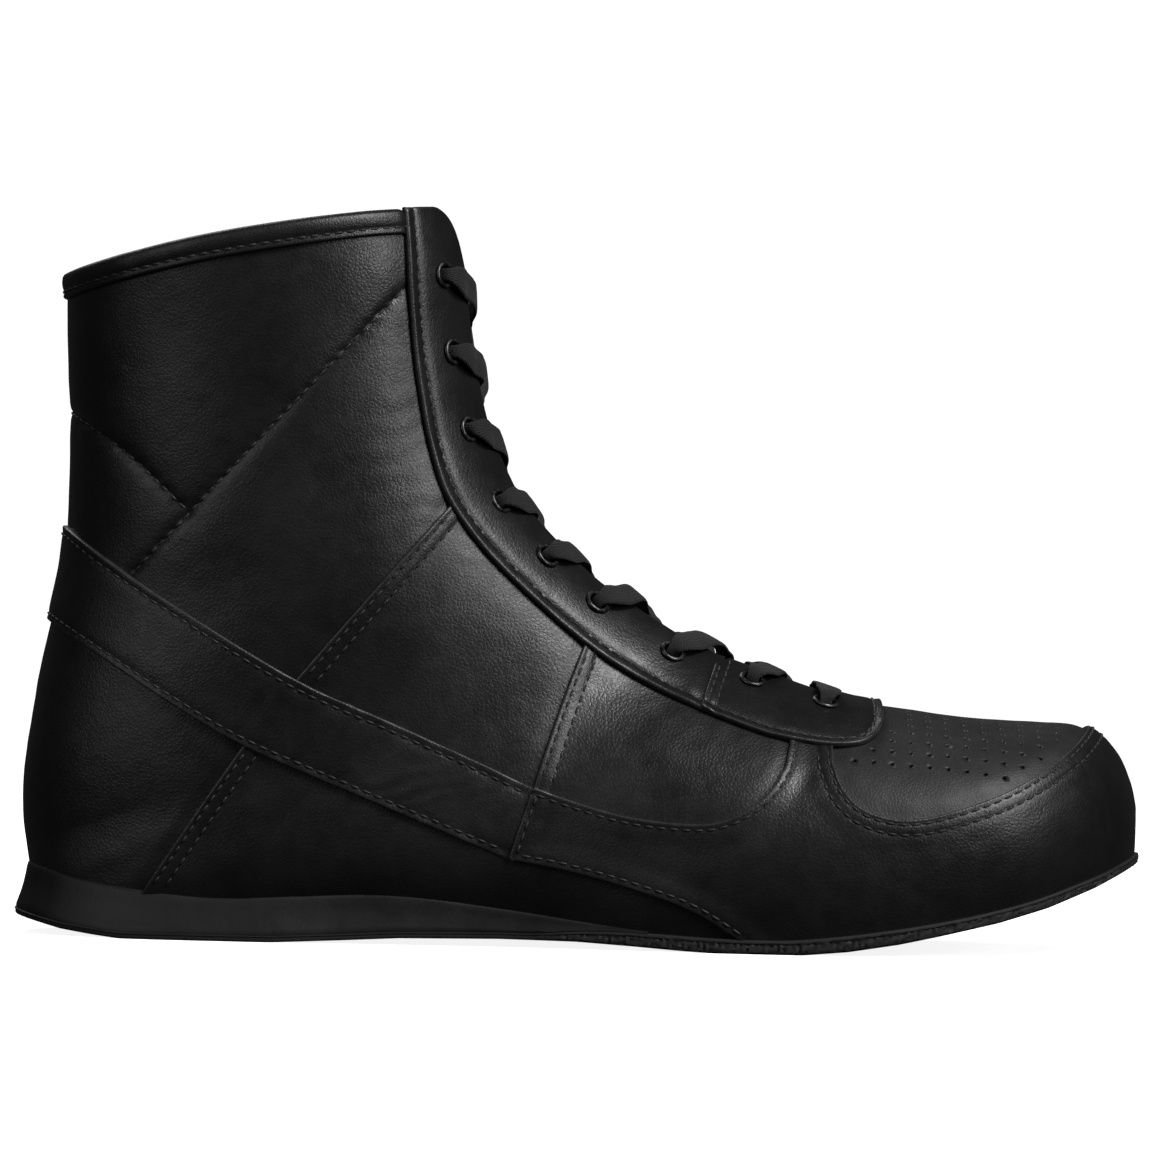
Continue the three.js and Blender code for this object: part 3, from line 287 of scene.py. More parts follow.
def throat_half(u):
    return (THROAT_TOP + (THROAT_TOE - THROAT_TOP) * np.minimum(np.asarray(u) / THROAT_END, 1)) / 2


def across_to_w(u, distance):
    sign = math.copysign(1, distance)
    w = np.linspace(0, sign, 121)
    line = skin(np.full(121, u), w)
    return float(np.interp(abs(distance), running(line), w))


def place(u, across, height):
    return at_height(np.array([u]), np.array([across_to_w(u, across)]), height)[0]


EYELET_SETBACK, EYELET_FIRST = 9.0, 27.2
EYELET_PITCHES = [20.3, 21.3, 21.5, 19.6, 18.6, 23.6, 20.2, 17.6]
eyelets = []
for side in (-1, 1):
    run = EYELET_FIRST
    for k in range(len(EYELET_PITCHES) + 1):
        u = float(front_to_u(run))
        across = side * (float(throat_half(u)) + EYELET_SETBACK)
        w = across_to_w(u, across)
        centre = at_height(np.array([u]), np.array([w]), OVERLAY_OUT)[0]
        beside = np.hypot(front_line[:, 0] - centre[0], front_line[:, 2] - centre[2]).argmin()
        eyelets.append({
            "name": f"eyelet_{'lateral' if side < 0 else 'medial'}_{k + 1}", "side": side, "k": k,
            "u": u, "across": across, "w": w, "centre": centre, "ridge": beside / FRONT_STEPS,
            "out": normal(np.array([u]), np.array([w]))[0],
        })
        if k < len(EYELET_PITCHES):
            run += EYELET_PITCHES[k]


# ------------------------------------------------------------------ limits of the upper
def below_collar(s, drop=1.3):
    level = np.interp(s.side[:, 0], COLLAR[:, 0], COLLAR[:, 1]) - drop
    return (level - s.side[:, 1]) * 0.985


def above_sole(s):
    level = np.interp(s.side[:, 0], SOLE_TOP[:, 0], SOLE_TOP[:, 1])
    return s.side[:, 1] - level


def outside_throat(s, round_end=7.0):
    lean = np.sqrt(np.clip(1 - s.n[:, 1] ** 2, 0.2, 1))
    a = (throat_half(s.u) - np.abs(s.y)) / lean
    b = THROAT_LENGTH - np.interp(s.u, np.linspace(0, 1, FRONT_STEPS + 1), front_run)
    a = np.where(np.abs(s.w) > 0.5, -50.0, a)
    ra, rb = np.maximum(round_end - a, 0), np.maximum(round_end - b, 0)
    corner = round_end - np.hypot(ra, rb)
    return -np.where((ra > 0) & (rb > 0), corner, np.minimum(a, b))


def eyestay_outline(s, corner=8.5):
    """The collar and throat edges, which meet in a rounded corner."""
    a, b = below_collar(s, 0.0), outside_throat(s)
    ra, rb = np.maximum(corner - a, 0), np.maximum(corner - b, 0)
    return np.where((ra > 0) & (rb > 0), corner - np.hypot(ra, rb), np.minimum(a, b))


def outside_eyelets(s, radius=2.7):
    d = np.full(len(s.u), 50.0)
    for e in eyelets:
        rel = s.outer - e["centre"]
        off = rel - np.outer(rel @ e["out"], e["out"])
        d = np.minimum(d, np.where(np.linalg.norm(rel, axis=1) < 12, np.linalg.norm(off, axis=1), 50.0))
    return d - radius


def off_centre(s, gap=0.15):
    return np.where(np.abs(s.w) > 0.6, np.abs(s.y) - gap, 50.0)


# ------------------------------------------------------------------ cutting patches
ROWS, COLUMNS = 300, 88  # over the whole last, and down one side


def grid(u_range, w_range):
    i0, i1 = int(u_range[0] * ROWS), int(math.ceil(u_range[1] * ROWS))
    j0, j1 = int(round(w_range[0] * COLUMNS)), int(round(w_range[1] * COLUMNS))
    us = np.arange(i0, i1 + 1) / ROWS
    js = np.arange(j0, j1 + 1) / COLUMNS
    ws = np.sign(js) * np.abs(js) ** 1.08
    uv = np.stack(np.meshgrid(us, ws, indexing="ij"), -1).reshape(-1, 2)
    n = len(ws)
    a = (np.arange(len(us) - 1)[:, None] * n + np.arange(n - 1)).ravel()
    tri = np.vstack([np.stack([a, a + n, a + 1], 1), np.stack([a + 1, a + n, a + n + 1], 1)])
    return uv, tri


def split(uv, tri, value, level=0.0, drop=False, snap=0.02):
    """Cuts the triangles along value = level. drop takes away what is under it."""
    s = value - level
    s = np.where(np.abs(s) < snap, snap * 1e-3, s)
    above = s > 0
    t = above[tri]
    count = t.sum(1)
    whole = tri[count == 3] if drop else tri[(count == 3) | (count == 0)]
    mixed, tm = tri[(count == 1) | (count == 2)], t[(count == 1) | (count == 2)]
    if len(mixed):
        odd = np.where((tm.sum(1) == 1)[:, None], tm, ~tm).argmax(1)
        r = np.arange(len(mixed))
        a, b, c = mixed[r, odd], mixed[r, (odd + 1) % 3], mixed[r, (odd + 2) % 3]
        pairs = np.sort(np.vstack([np.stack([a, b], 1), np.stack([a, c], 1)]), 1)
        unique, index = np.unique(pairs, axis=0, return_inverse=True)
        index = index.ravel() + len(uv)
        ab, ac = index[:len(mixed)], index[len(mixed):]
        p, q = unique[:, 0], unique[:, 1]
        f = (s[p] / (s[p] - s[q]))[:, None]
        uv = np.vstack([uv, uv[p] + (uv[q] - uv[p]) * f])
        tip = np.stack([a, ab, ac], 1)
        rest = np.vstack([np.stack([ab, b, c], 1), np.stack([ab, c, ac], 1)])
        if drop:
            up = above[a]
            tip, rest = tip[up], rest[~np.concatenate([up, up])]
        tri = np.vstack([whole, tip, rest])
    else:
        tri = whole
    used, tri = np.unique(tri, return_inverse=True)
    return uv[used], tri.reshape(-1, 3)


def weld(points, uv, tri):
    """Joins the two sides where the last closes, at its back and at the tip of the toe."""
    ends = np.where((np.abs(uv[:, 1]) > 0.9999) | (uv[:, 0] > 0.9999))[0]
    if not len(ends):
        return tri
    tree = kdtree.KDTree(len(ends))
    for i in ends:
        tree.insert(points[i], int(i))
    tree.balance()
    to = np.arange(len(points))
    for i in ends:
        to[i] = min(hit[1] for hit in tree.find_range(points[i], 0.02))
    tri = to[tri]
    return tri[(tri[:, 0] != tri[:, 1]) & (tri[:, 1] != tri[:, 2]) & (tri[:, 0] != tri[:, 2])]


def ease(x):
    x = np.clip(x, 0, 1)
    return x * x * (3 - 2 * x)


def waves(p, seed, scale, count=14):
    """Smooth random field from sine waves, about -1 to 1, over points in mm."""
    rng = np.random.default_rng(seed)
    total = np.zeros(len(p))
    for _ in range(count):
        k = rng.normal(size=3)
        k *= rng.uniform(0.6, 1.6) * 2 * np.pi / (scale * np.linalg.norm(k))
        total += np.sin(p @ k + rng.uniform(0, 2 * np.pi))
    return total / math.sqrt(count)


def new_object(name, verts, faces, smooth_angle=40.0):
    mesh = bpy.data.meshes.new(name)
    points = (np.asarray(verts, float) + SHIFT) * MM
    mesh.from_pydata(points.tolist(), [], [tuple(int(i) for i in f) for f in faces])
    mesh.update()
    mesh.shade_smooth()
    if smooth_angle:
        mesh.set_sharp_from_angle(angle=math.radians(smooth_angle))
    obj = bpy.data.objects.new(name, mesh)
    bpy.context.scene.collection.objects.link(obj)
    return obj


class Panel:
    """A leather panel: where it is, its cut edges, and its height over the last.

    cut: regions (with sign) whose curve is a visible cut edge. under: regions it is tucked under.
    rows: (region, distance, depth) of each stitch row's groove. lift: (region, amount, reach)."""

    def __init__(self, name, low, high, w_range=(-1, 1), u_range=(0, 1), cut=(), under=(), rows=(),
                 lift=(), limits=(), tuck=2.0, roundness=0.5, extra=None):
        self.name, self.low, self.high = name, low, high
        self.cut, self.under, self.rows, self.lift = cut, under, rows, lift
        self.limits, self.tuck, self.roundness, self.extra = limits, tuck, roundness, extra
        uv, tri = grid(u_range, w_range)
        uv, tri = split(uv, tri, self.keep(Spots(uv)), 0, drop=True)
        s = Spots(uv)
        for level in (0.1, 0.3, 0.6):
            uv, tri = split(uv, tri, self.edge(s), level * roundness / 0.5)
            s = Spots(uv)
        for region, distance, _depth in rows:
            for step in (-0.55, 0.0, 0.55):
                uv, tri = split(uv, tri, s.beside(region, distance), step)
                s = Spots(uv)
        self.uv, self.tri, self.spots = uv, tri, s

    def edge(self, s):
        """Distance from the nearest visible cut edge."""
        d = np.full(len(s.u), 60.0)
        for region, sign in self.cut:
            d = np.minimum(d, sign * s.field(region))
        for limit, _tuck, shown in self.limits:
            if shown:
                d = np.minimum(d, limit(s))
        return d

    def keep(self, s):
        d = self.edge(s)
        for region, sign in self.under:
            d = np.minimum(d, sign * s.field(region) + self.tuck)
        for limit, tuck, _shown in self.limits:
            d = np.minimum(d, limit(s) + tuck)
        return d

    def top(self, s):
        h = np.full(len(s.u), float(self.high))
        for region, amount, reach in self.lift:
            h = h + amount * (1 - ease(s.distance(region) / reach))
        for region, distance, depth in self.rows:
            away = s.beside(region, distance)
            h = h - depth * np.exp(-((away / 0.6) ** 2)) - 0.5 * depth * np.exp(-((away / 1.6) ** 2))
        h = h + 0.16 * waves(s.p, 7, 42.0) + 0.035 * waves(s.p, 11, 9.0)
        if self.extra:
            h = h + self.extra(s)
        r = self.roundness
        x = np.clip(1 - np.maximum(self.edge(s), 0) / r, 0, 1)
        return h - r * (1 - np.sqrt(np.clip(1 - x * x, 0, 1)))

    def bottom(self, s):
        return np.full(len(s.u), float(self.low))

    def build(self):
        s, uv = self.spots, self.uv
        outer = s.p + s.n * self.top(s)[:, None]
        inner = s.p + s.n * self.bottom(s)[:, None]
        tri = weld(s.p + s.n * self.high, uv, self.tri)
        n = len(uv)
        edges = np.vstack([tri[:, [0, 1]], tri[:, [1, 2]], tri[:, [2, 0]]])
        _, index, count = np.unique(np.sort(edges, 1), axis=0, return_index=True, return_counts=True)
        rim = edges[index[count == 1]]
        faces = tri.tolist() + (tri[:, ::-1] + n).tolist()
        faces += np.stack([rim[:, 1], rim[:, 0], rim[:, 0] + n, rim[:, 1] + n], 1).tolist()
        verts = np.vstack([outer, inner])
        used = np.unique(np.concatenate([np.ravel(f) for f in (tri, tri + n)]))
        to = np.zeros(len(verts), int)
        to[used] = np.arange(len(used))
        faces = [[int(to[i]) for i in f] for f in faces]
        self.object = new_object(self.name, verts[used], faces)
        return self.object

    def path(self, region, distance):
        """The lines on this panel that run at a distance from a seam's curve, as chains of (u, w)."""
        s = self.spots
        value = s.beside(region, distance)
        value = np.where(np.abs(value) < 1e-7, 1e-7, value)
        tri = self.tri
        above = (value > 0)[tri]
        count = above.sum(1)
        mixed = tri[(count == 1) | (count == 2)]
        am = above[(count == 1) | (count == 2)]
        links, spot = {}, {}
        for t, m in zip(mixed, am):
            ends = []
            for i, j in ((0, 1), (1, 2), (2, 0)):
                if m[i] != m[j]:
                    key = (min(t[i], t[j]), max(t[i], t[j]))
                    if key not in spot:
                        f = value[key[0]] / (value[key[0]] - value[key[1]])
                        spot[key] = self.uv[key[0]] + (self.uv[key[1]] - self.uv[key[0]]) * f
                    ends.append(key)
            if len(ends) == 2:
                links.setdefault(ends[0], []).append(ends[1])
                links.setdefault(ends[1], []).append(ends[0])
        chains, seen = [], set()
        starts = [k for k, v in links.items() if len(v) == 1] + list(links)
        for start in starts:
            if start in seen:
                continue
            chain, here = [start], start
            seen.add(start)
            while True:
                onward = [k for k in links[here] if k not in seen]
                if not onward:
                    break
                here = onward[0]
                seen.add(here)
                chain.append(here)
            if len(chain) > 3:
                chains.append(np.array([spot[k] for k in chain]))
        return chains


# ------------------------------------------------------------------ stitches
STITCH_LENGTH, STITCH_PITCH, THREAD = 2.5, 3.25, 0.30
STITCH_THICK = THREAD * np.array([0.5, 0.82, 1, 1.05, 1, 0.82, 0.5])
SHORTEST_ROW = 4
CLEAR_OF_EDGE = 0.4
OFF_ROW = 0.5


def add_stitch(verts, faces, centres, across, up, flipped=False):
    """A capsule of seven rings of six points."""
    base = len(verts)
    for c, thick, a, u in zip(centres, STITCH_THICK, across, up):
        for k in range(6):
            turn = k * math.pi / 3
            verts.append(c + thick * (math.cos(turn) * a + math.sin(turn) * u))
    quads = [(base + i * 6 + k, base + i * 6 + (k + 1) % 6) for i in range(6) for k in range(6)]
    ends = [tuple(range(base + 5, base - 1, -1)), tuple(range(base + 36, base + 42))]
    if flipped:
        faces += [(p, p + 6, q + 6, q) for p, q in quads] + [end[::-1] for end in ends]
    else:
        faces += [(p, q, q + 6, p + 6) for p, q in quads] + ends


def stitch_rows(name, panel, rows, where):
    """One object holding every stitch of the rows (region, distance)."""
    verts, faces = [], []
    along = np.array([-1, -0.82, -0.45, 0, 0.45, 0.82, 1])
    rise = np.array([-0.42, -0.05, 0.13, 0.2, 0.13, -0.05, -0.42])
    for region, distance in rows:
        for chain in panel.path(region, distance):
            spots = Spots(chain)
            line = spots.p + spots.n * LEATHER_OUT
            run = running(line)
            keep = np.concatenate([[True], np.diff(run) > 1e-4])
            run, chain = run[keep], chain[keep]
            if run[-1] < SHORTEST_ROW:
                continue
            count = int((run[-1] - 1.0) // STITCH_PITCH)
            first = (run[-1] - count * STITCH_PITCH) / 2 + STITCH_PITCH / 2
            t = first + np.arange(count)[:, None] * STITCH_PITCH + along * STITCH_LENGTH / 2
            s = Spots(resampled(t.ravel(), run, chain))
            on_row = np.abs(s.distance(region) - distance) < OFF_ROW
            inside_panel = ((panel.edge(s) > CLEAR_OF_EDGE) & on_row).reshape(t.shape).all(1)
            if where is not None:
                inside_panel &= where(s).reshape(t.shape).all(1)
            centres = (s.p + s.n * panel.top(s)[:, None]).reshape(count, 7, 3)
            normals = s.n.reshape(count, 7, 3)
            for c, n in zip(centres[inside_panel], normals[inside_panel]):
                c = c + n * rise[:, None]
                tangent = unit(np.gradient(c, axis=0))
                across = unit(np.cross(n, tangent))
                add_stitch(verts, faces, c, across, np.cross(tangent, across))
    return new_object(name, np.array(verts), faces, smooth_angle=60)


# ------------------------------------------------------------------ leather panels
LAP, LAP_REACH = 0.95, 7.0  # how far a lapped edge stands up, and over what distance
DIP, DIP_REACH = -0.35, 4.0
collar_trim = (below_collar, 0.0, False)
sole_trim = (above_sole, 1.4, False)
throat_trim = (outside_throat, 0.0, True)
hole_trim = (outside_eyelets, 0.0, True)
LATERAL, MEDIAL = (-1, 0), (0, 1)
panels = {}


def ankle_creases(s):
    """Soft folds that fan back from the bend of the ankle."""
    x, z = s.side[:, 0], s.side[:, 1]
    near = np.exp(-(((x + 36) / 22) ** 2) - ((z - 132) / 30) ** 2)
    wave = np.sin((z - 0.28 * x) * 2 * np.pi / 7.1 + 2.6 * waves(s.p, 21, 26.0))
    return 0.075 * near * wave * (1 + 0.7 * waves(s.p, 23, 15.0))


def quilted(s):
    """Padding drawn in along two quilting lines, puckered at each stitch."""
    total = 0
    for d in (s.distance("quilt_a"), s.distance("quilt_b")):
        lengthwise = s.side[:, 1] * 1.35
        pucker = 1 + 0.35 * np.sin(lengthwise * 2 * np.pi / 4.6)
        total = total - 0.42 * np.exp(-((d / 1.3) ** 2)) * pucker - 0.3 * np.exp(-((d / 5.0) ** 2))
    return total + ankle_creases(s)


def band_end(s):
    """The band thins where it runs in under the mudguard."""
    away = s.distance("behind_mudguard")
    pulls = 0.09 * np.sin(s.side[:, 0] * 0.9 + 0.6 * s.side[:, 1] + waves(s.p, 31, 24.0)) \
        * ease((s.side[:, 0] + 100) / 30)
    return -1.1 * (1 - ease(away / 16)) + pulls


for hand, span in (("lateral", LATERAL), ("medial", MEDIAL)):
    panels["shaft_panel_" + hand] = Panel(
        "shaft_panel_" + hand, LEATHER_IN, LEATHER_OUT, span, (0, 0.36),
        under=[("rear_of_diagonal", 1), ("above_band", 1)], rows=[("quilt_a", 0, 0.1), ("quilt_b", 0, 0.1)],
        lift=[("rear_of_diagonal", DIP, DIP_REACH)],
        limits=[collar_trim, throat_trim, hole_trim, (off_centre, 0.0, True)], extra=quilted)
    panels["middle_quarter_" + hand] = Panel(
        "middle_quarter_" + hand, LEATHER_IN, LEATHER_OUT, span, (0.1, 0.62),
        cut=[("rear_of_diagonal", -1)], under=[("above_band", 1), ("rear_of_middle", 1)],
        rows=[("rear_of_diagonal", 1.5, 0.14), ("rear_of_diagonal", 4.3, 0.14)],
        lift=[("rear_of_diagonal", LAP, LAP_REACH), ("rear_of_middle", DIP, DIP_REACH)],
        limits=[throat_trim, hole_trim], extra=ankle_creases)
    panels["front_quarter_" + hand] = Panel(
        "front_quarter_" + hand, LEATHER_IN, LEATHER_OUT, span, (0.2, 0.75),
        cut=[("rear_of_middle", -1)], under=[("flank", 1)],
        rows=[("rear_of_middle", 1.5, 0.14), ("rear_of_middle", 4.3, 0.14)],
        lift=[("rear_of_middle", LAP, LAP_REACH), ("flank", DIP, DIP_REACH)],
        limits=[throat_trim, hole_trim])
    panels["lower_quarter_" + hand] = Panel(
        "lower_quarter_" + hand, LEATHER_IN, LEATHER_OUT, span, (0.25, 0.8),
        cut=[("rear_of_lower", -1)], under=[("above_band", -1), ("rear_of_mudguard", 1)],
        rows=[("rear_of_lower", 1.5, 0.14), ("rear_of_lower", 4.3, 0.14)],
        lift=[("rear_of_lower", LAP, LAP_REACH), ("rear_of_mudguard", DIP, DIP_REACH)],
        limits=[sole_trim], tuck=2.0)
    panels["eyestay_" + hand] = Panel(
        "eyestay_" + hand, OVERLAY_IN, OVERLAY_OUT, span, (0, 0.72),
        cut=[("eyestay", 1)], under=[("rear_of_joint", 1)],
        rows=[("eyestay", 2.9, 0.32)], roundness=0.7,
        lift=[("eyestay", 0.35, 2.6), ("rear_of_joint", DIP, DIP_REACH)],
        limits=[(eyestay_outline, 0.0, True), hole_trim])

panels["heel_foxing"] = Panel(
    "heel_foxing", LEATHER_IN, LEATHER_OUT, (-1, 1), (0.1, 0.62),
    under=[("above_band", -1), ("rear_of_lower", 1)], lift=[("rear_of_lower", DIP, DIP_REACH)],
    limits=[sole_trim])
panels["ankle_band"] = Panel(
    "ankle_band", LEATHER_OUT - 0.1, OVERLAY_OUT - 0.25, (-1, 1), (0.05, 0.72),
    cut=[("under_band_top", 1), ("over_band_bottom", 1)], under=[("rear_of_band_end", 1)],
    rows=[("under_band_top", 2.1, 0.16), ("over_band_bottom", 1.8, 0.16)], extra=band_end)
panels["mudguard"] = Panel(
    "mudguard", LEATHER_IN, LEATHER_OUT, (-1, 1), (0.4, 1),
    cut=[("flank", -1), ("behind_mudguard", -1), ("vamp", -1)],
    rows=[("flank", 1.7, 0.14), ("behind_mudguard", 1.7, 0.14), ("vamp", 1.4, 0.16), ("vamp", 4.0, 0.16)],
    lift=[("flank", LAP, LAP_REACH), ("behind_mudguard", LAP + 0.3, LAP_REACH), ("vamp", LAP, 9.0)],
    limits=[sole_trim, throat_trim, hole_trim])
panels["vamp"] = Panel(
    "vamp", LEATHER_IN, LEATHER_OUT, (-1, 1), (0.6, 1), under=[("vamp", 1)],
    lift=[("vamp", DIP, 5.0)], limits=[throat_trim, hole_trim])
panels["throat_stay"] = Panel(
    "throat_stay", OVERLAY_IN, OVERLAY_OUT, (-1, 1), (0.5, 0.85),
    cut=[("eyestay", 1), ("rear_of_joint", -1)],
    rows=[("eyestay", 2.3, 0.2), ("rear_of_joint", 1.4, 0.14), ("rear_of_joint", 3.6, 0.14)],
    lift=[("rear_of_joint", 0.75, 5.0), ("eyestay", 0.2, 2.0)], limits=[throat_trim, hole_trim])
for panel in panels.values():
    panel.build()


seams = {}


def sew(name, *jobs):
    """Joins the stitch rows of several panels into one piece. Each job is (panel, rows, where)."""
    made = [stitch_rows(f"{name}_{i}", panels[p], rows, where) for i, (p, rows, where) in enumerate(jobs)]
    with bpy.context.temp_override(active_object=made[0], selected_editable_objects=made):
        if len(made) > 1:
            bpy.ops.object.join()
    made[0].name = name
    seams[name] = made[0]


clear_of_band = lambda s: (s.field("under_band_top") < -0.6) & (s.field("eyestay") < -0.5)
quilt_clear = lambda s: (s.field("under_band_top") < -0.6) & (s.field("rear_of_diagonal") > 0) & \
    (s.field("eyestay") < -0.5) & (s.side[:, 1] < 175)
for hand in ("lateral", "medial"):
    sew("quarter_stitches_" + hand,
        ("middle_quarter_" + hand, [("rear_of_diagonal", 1.5), ("rear_of_diagonal", 4.3)], clear_of_band),
        ("front_quarter_" + hand, [("rear_of_middle", 1.5), ("rear_of_middle", 4.3)],
         lambda s: (s.field("eyestay") < -0.5) & (s.field("flank") > 0.6)),
        ("lower_quarter_" + hand, [("rear_of_lower", 1.5), ("rear_of_lower", 4.3)],
         lambda s: (s.field("over_band_bottom") < -0.6) & (above_sole(s) > 1.2)))
    sew("quilting_" + hand, ("shaft_panel_" + hand, [("quilt_a", 0), ("quilt_b", 0)], quilt_clear))
    sew("eyestay_stitches_" + hand,
        ("eyestay_" + hand, [("eyestay", 2.9)], lambda s: s.field("rear_of_joint") > 0.6))
sew("band_stitches", ("ankle_band", [("under_band_top", 2.1), ("over_band_bottom", 1.8)],
                      lambda s: s.field("rear_of_band_end") > 0.6))
mudguard_rows = [("flank", 1.7), ("vamp", 1.4), ("vamp", 4.0), ("behind_mudguard", 1.7)]
sew("mudguard_stitches", ("mudguard", mudguard_rows,
                          lambda s: (s.field("eyestay") < -0.5) & (above_sole(s) > 1.2)))
throat_rows = [("eyestay", 2.3), ("rear_of_joint", 1.4), ("rear_of_joint", 3.6)]
sew("throat_stitches", ("throat_stay", throat_rows, None))

# ------------------------------------------------------------------ lining
lining = Panel("lining", LINING_OUT, LINING_IN, (-1, 1), (0, 1), roundness=0.6,
               limits=[(lambda s: below_collar(s, 3.0), 0.0, False), (above_sole, 3.0, False), throat_trim,
                       (eyestay_outline, 0.0, False), hole_trim])


def lining_inner(s):
    """Foam-backed, fuller below the collar at the back."""
    down = below_collar(s, 0)
    roll = np.exp(-(((down - 17) / 10) ** 2)) * ease((np.abs(s.w) - 0.5) / 0.25)
    soft = 0.14 * waves(s.p, 41, 26.0)
    return LINING_IN - 1.3 * roll + soft


lining.top, lining.bottom = (lambda s: np.full(len(s.u), LINING_OUT)), lining_inner
lining.high = LINING_OUT
lining.build()


# ------------------------------------------------------------------ swept pieces
def frames_along(points):
    return unit(np.gradient(points, axis=0))


def sweep(rings):
    """Vertices and faces of a closed tube through the rings."""
    count, size = rings.shape[:2]
    i, j = np.meshgrid(np.arange(count - 1) * size, np.arange(size), indexing="ij")
    k = (j + 1) % size
    faces = np.stack([i + j, i + k, i + size + k, i + size + j], -1).reshape(-1, 4).tolist()
    faces.append(list(range(size - 1, -1, -1)))
    faces.append([(count - 1) * size + j for j in range(size)])
    return rings.reshape(-1, 3), faces


def side_to_uv(points, side, height):
    """(u, w) of side-view points on one side of the last, found by a few Newton steps."""
    uu, ww = np.meshgrid(np.linspace(0, 1, 90), side * np.linspace(0.02, 0.98, 60), indexing="ij")
    coarse = at_height(uu.ravel(), ww.ravel(), height)[:, [0, 2]]
    out = []
    for p in points:
        i = ((coarse - p) ** 2).sum(1).argmin()
        q = np.array([uu.ravel()[i], ww.ravel()[i]])
        for _ in range(12):
            probe = np.array([q, q + [1e-3, 0], q + [0, 1e-3]])
            f = at_height(probe[:, 0], probe[:, 1], height)[:, [0, 2]]
            jac = np.stack([(f[1] - f[0]) / 1e-3, (f[2] - f[0]) / 1e-3], 1)
            step = np.linalg.lstsq(jac + 1e-9, p - f[0], rcond=None)[0]
            q = q + np.clip(step, -0.05, 0.05)
            q = np.array([np.clip(q[0], 0, 1), side * np.clip(side * q[1], 0.001, 1)])
        out.append(q)
    return np.array(out)


def collar_line():
    """(u, w) along the collar's edge: up one side from the eyestay, round the back, to the other."""
    round_heel = -120 - 17.9 * np.sin(np.linspace(0.04, 1, 30) * np.pi / 2)
    xs = np.concatenate([np.linspace(-46.5, -120, 42), round_heel])
    zs = np.interp(xs, COLLAR[:, 0], COLLAR[:, 1]) - 0.2
    halves = []
    for side in (-1, 1):
        uv = side_to_uv(np.stack([xs, zs], 1), side, OVERLAY_OUT - 0.6)
        target = at_height(uv[:, 0], uv[:, 1], OVERLAY_OUT - 0.6)
        good = np.abs(target[:, 0] - xs) + np.abs(target[:, 2] - zs) < 0.3
        halves.append(uv[good])
    return halves


BINDING_LEVEL = 3.0
# from the outside face over the fold and down the inside: (height out from the level, up the leather)
BINDING_OUTLINE = [
    (-0.2, -6.75), (0.75, -6.7), (1.15, -6.4), (1.22, -6.0), (1.02, -5.1), (1.0, -4.8), (1.25, -4.3),
    (1.5, -3.3), (1.55, -2.2), (1.4, -1.1), (1.0, -0.4), (0.3, 0.0), (-0.7, 0.15), (-2.2, 0.15),
    (-3.6, 0.1), (-4.8, -0.25), (-5.6, -1.0), (-6.0, -2.2), (-6.0, -3.6), (-5.75, -4.8), (-5.5, -5.0),
    (-5.6, -5.6), (-5.5, -6.3), (-5.1, -6.6), (-4.4, -6.6), (-4.3, -3.0), (-3.0, -1.4), (-1.2, -1.4),
    (-0.2, -2.6)]
BINDING_RIPPLED = range(1, 20)  # the points of the outline that ripple with the leather
BINDING_TUCK = 5.0  # it thins over this length, where it runs in under the eyestays


def collar_binding():
    first, second = collar_line()
    loop = np.vstack([at_height(*first.T, BINDING_LEVEL), at_height(*second.T, BINDING_LEVEL)[::-1]])
    normals = np.vstack([normal(*first.T), normal(*second.T)[::-1]])
    run = running(loop)
    t = np.arange(0, run[-1], 0.8)
    loop, normals = resampled(t, run, loop), resampled(t, run, normals)
    kernel = np.ones(9) / 9
    for i in range(3):
        for data in (loop, normals):
            padded_data = np.pad(data[:, i], 4, mode="reflect", reflect_type="odd")
            data[:, i] = np.convolve(padded_data, kernel, mode="valid")
    normals = unit(normals)
    up = np.cross(frames_along(loop), normals)
    up = unit(up * np.sign(up[:, 2:3]))
    ripple = 0.12 * waves(loop, 51, 14.0)
    tuck = ease(np.minimum(t, t[-1] - t) / BINDING_TUCK)
    rings = []
    for c, n, w, r, f in zip(loop, normals, up, ripple, tuck):
        ring = []
        for i, (x, z) in enumerate(BINDING_OUTLINE):
            out = x if x < 0 else x * f - 0.3 * (1 - f)
            ring.append(c + n * (out + (r if i in BINDING_RIPPLED else 0)) + w * (z - 1.2 * (1 - f)))
        rings.append(ring)
    verts, faces = sweep(np.array(rings)[:, ::-1])
    obj = new_object("collar_binding", verts, faces, 50)
    stitch_verts, stitch_faces = [], []
    along = np.array([-1, -0.8, -0.4, 0, 0.4, 0.8, 1]) * STITCH_LENGTH / 2
    rise = np.array([-0.4, -0.05, 0.12, 0.18, 0.12, -0.05, -0.4])
    for face, drop, out in ((1.02, -4.95, 1), (-5.6, -4.95, -1)):
        for k in range(int((t[-1] - 3) // STITCH_PITCH)):
            at = 1.5 + k * STITCH_PITCH + along + 1.3
            c, n, w = (resampled(at, t, data) for data in (loop, normals, up))
            c = c + n * (face + out * rise)[:, None] + w * drop
            add_stitch(stitch_verts, stitch_faces, c, w, n, flipped=True)
    seams["collar_stitches"] = new_object("collar_stitches", np.array(stitch_verts), stitch_faces, 60)
    return obj


binding = collar_binding()

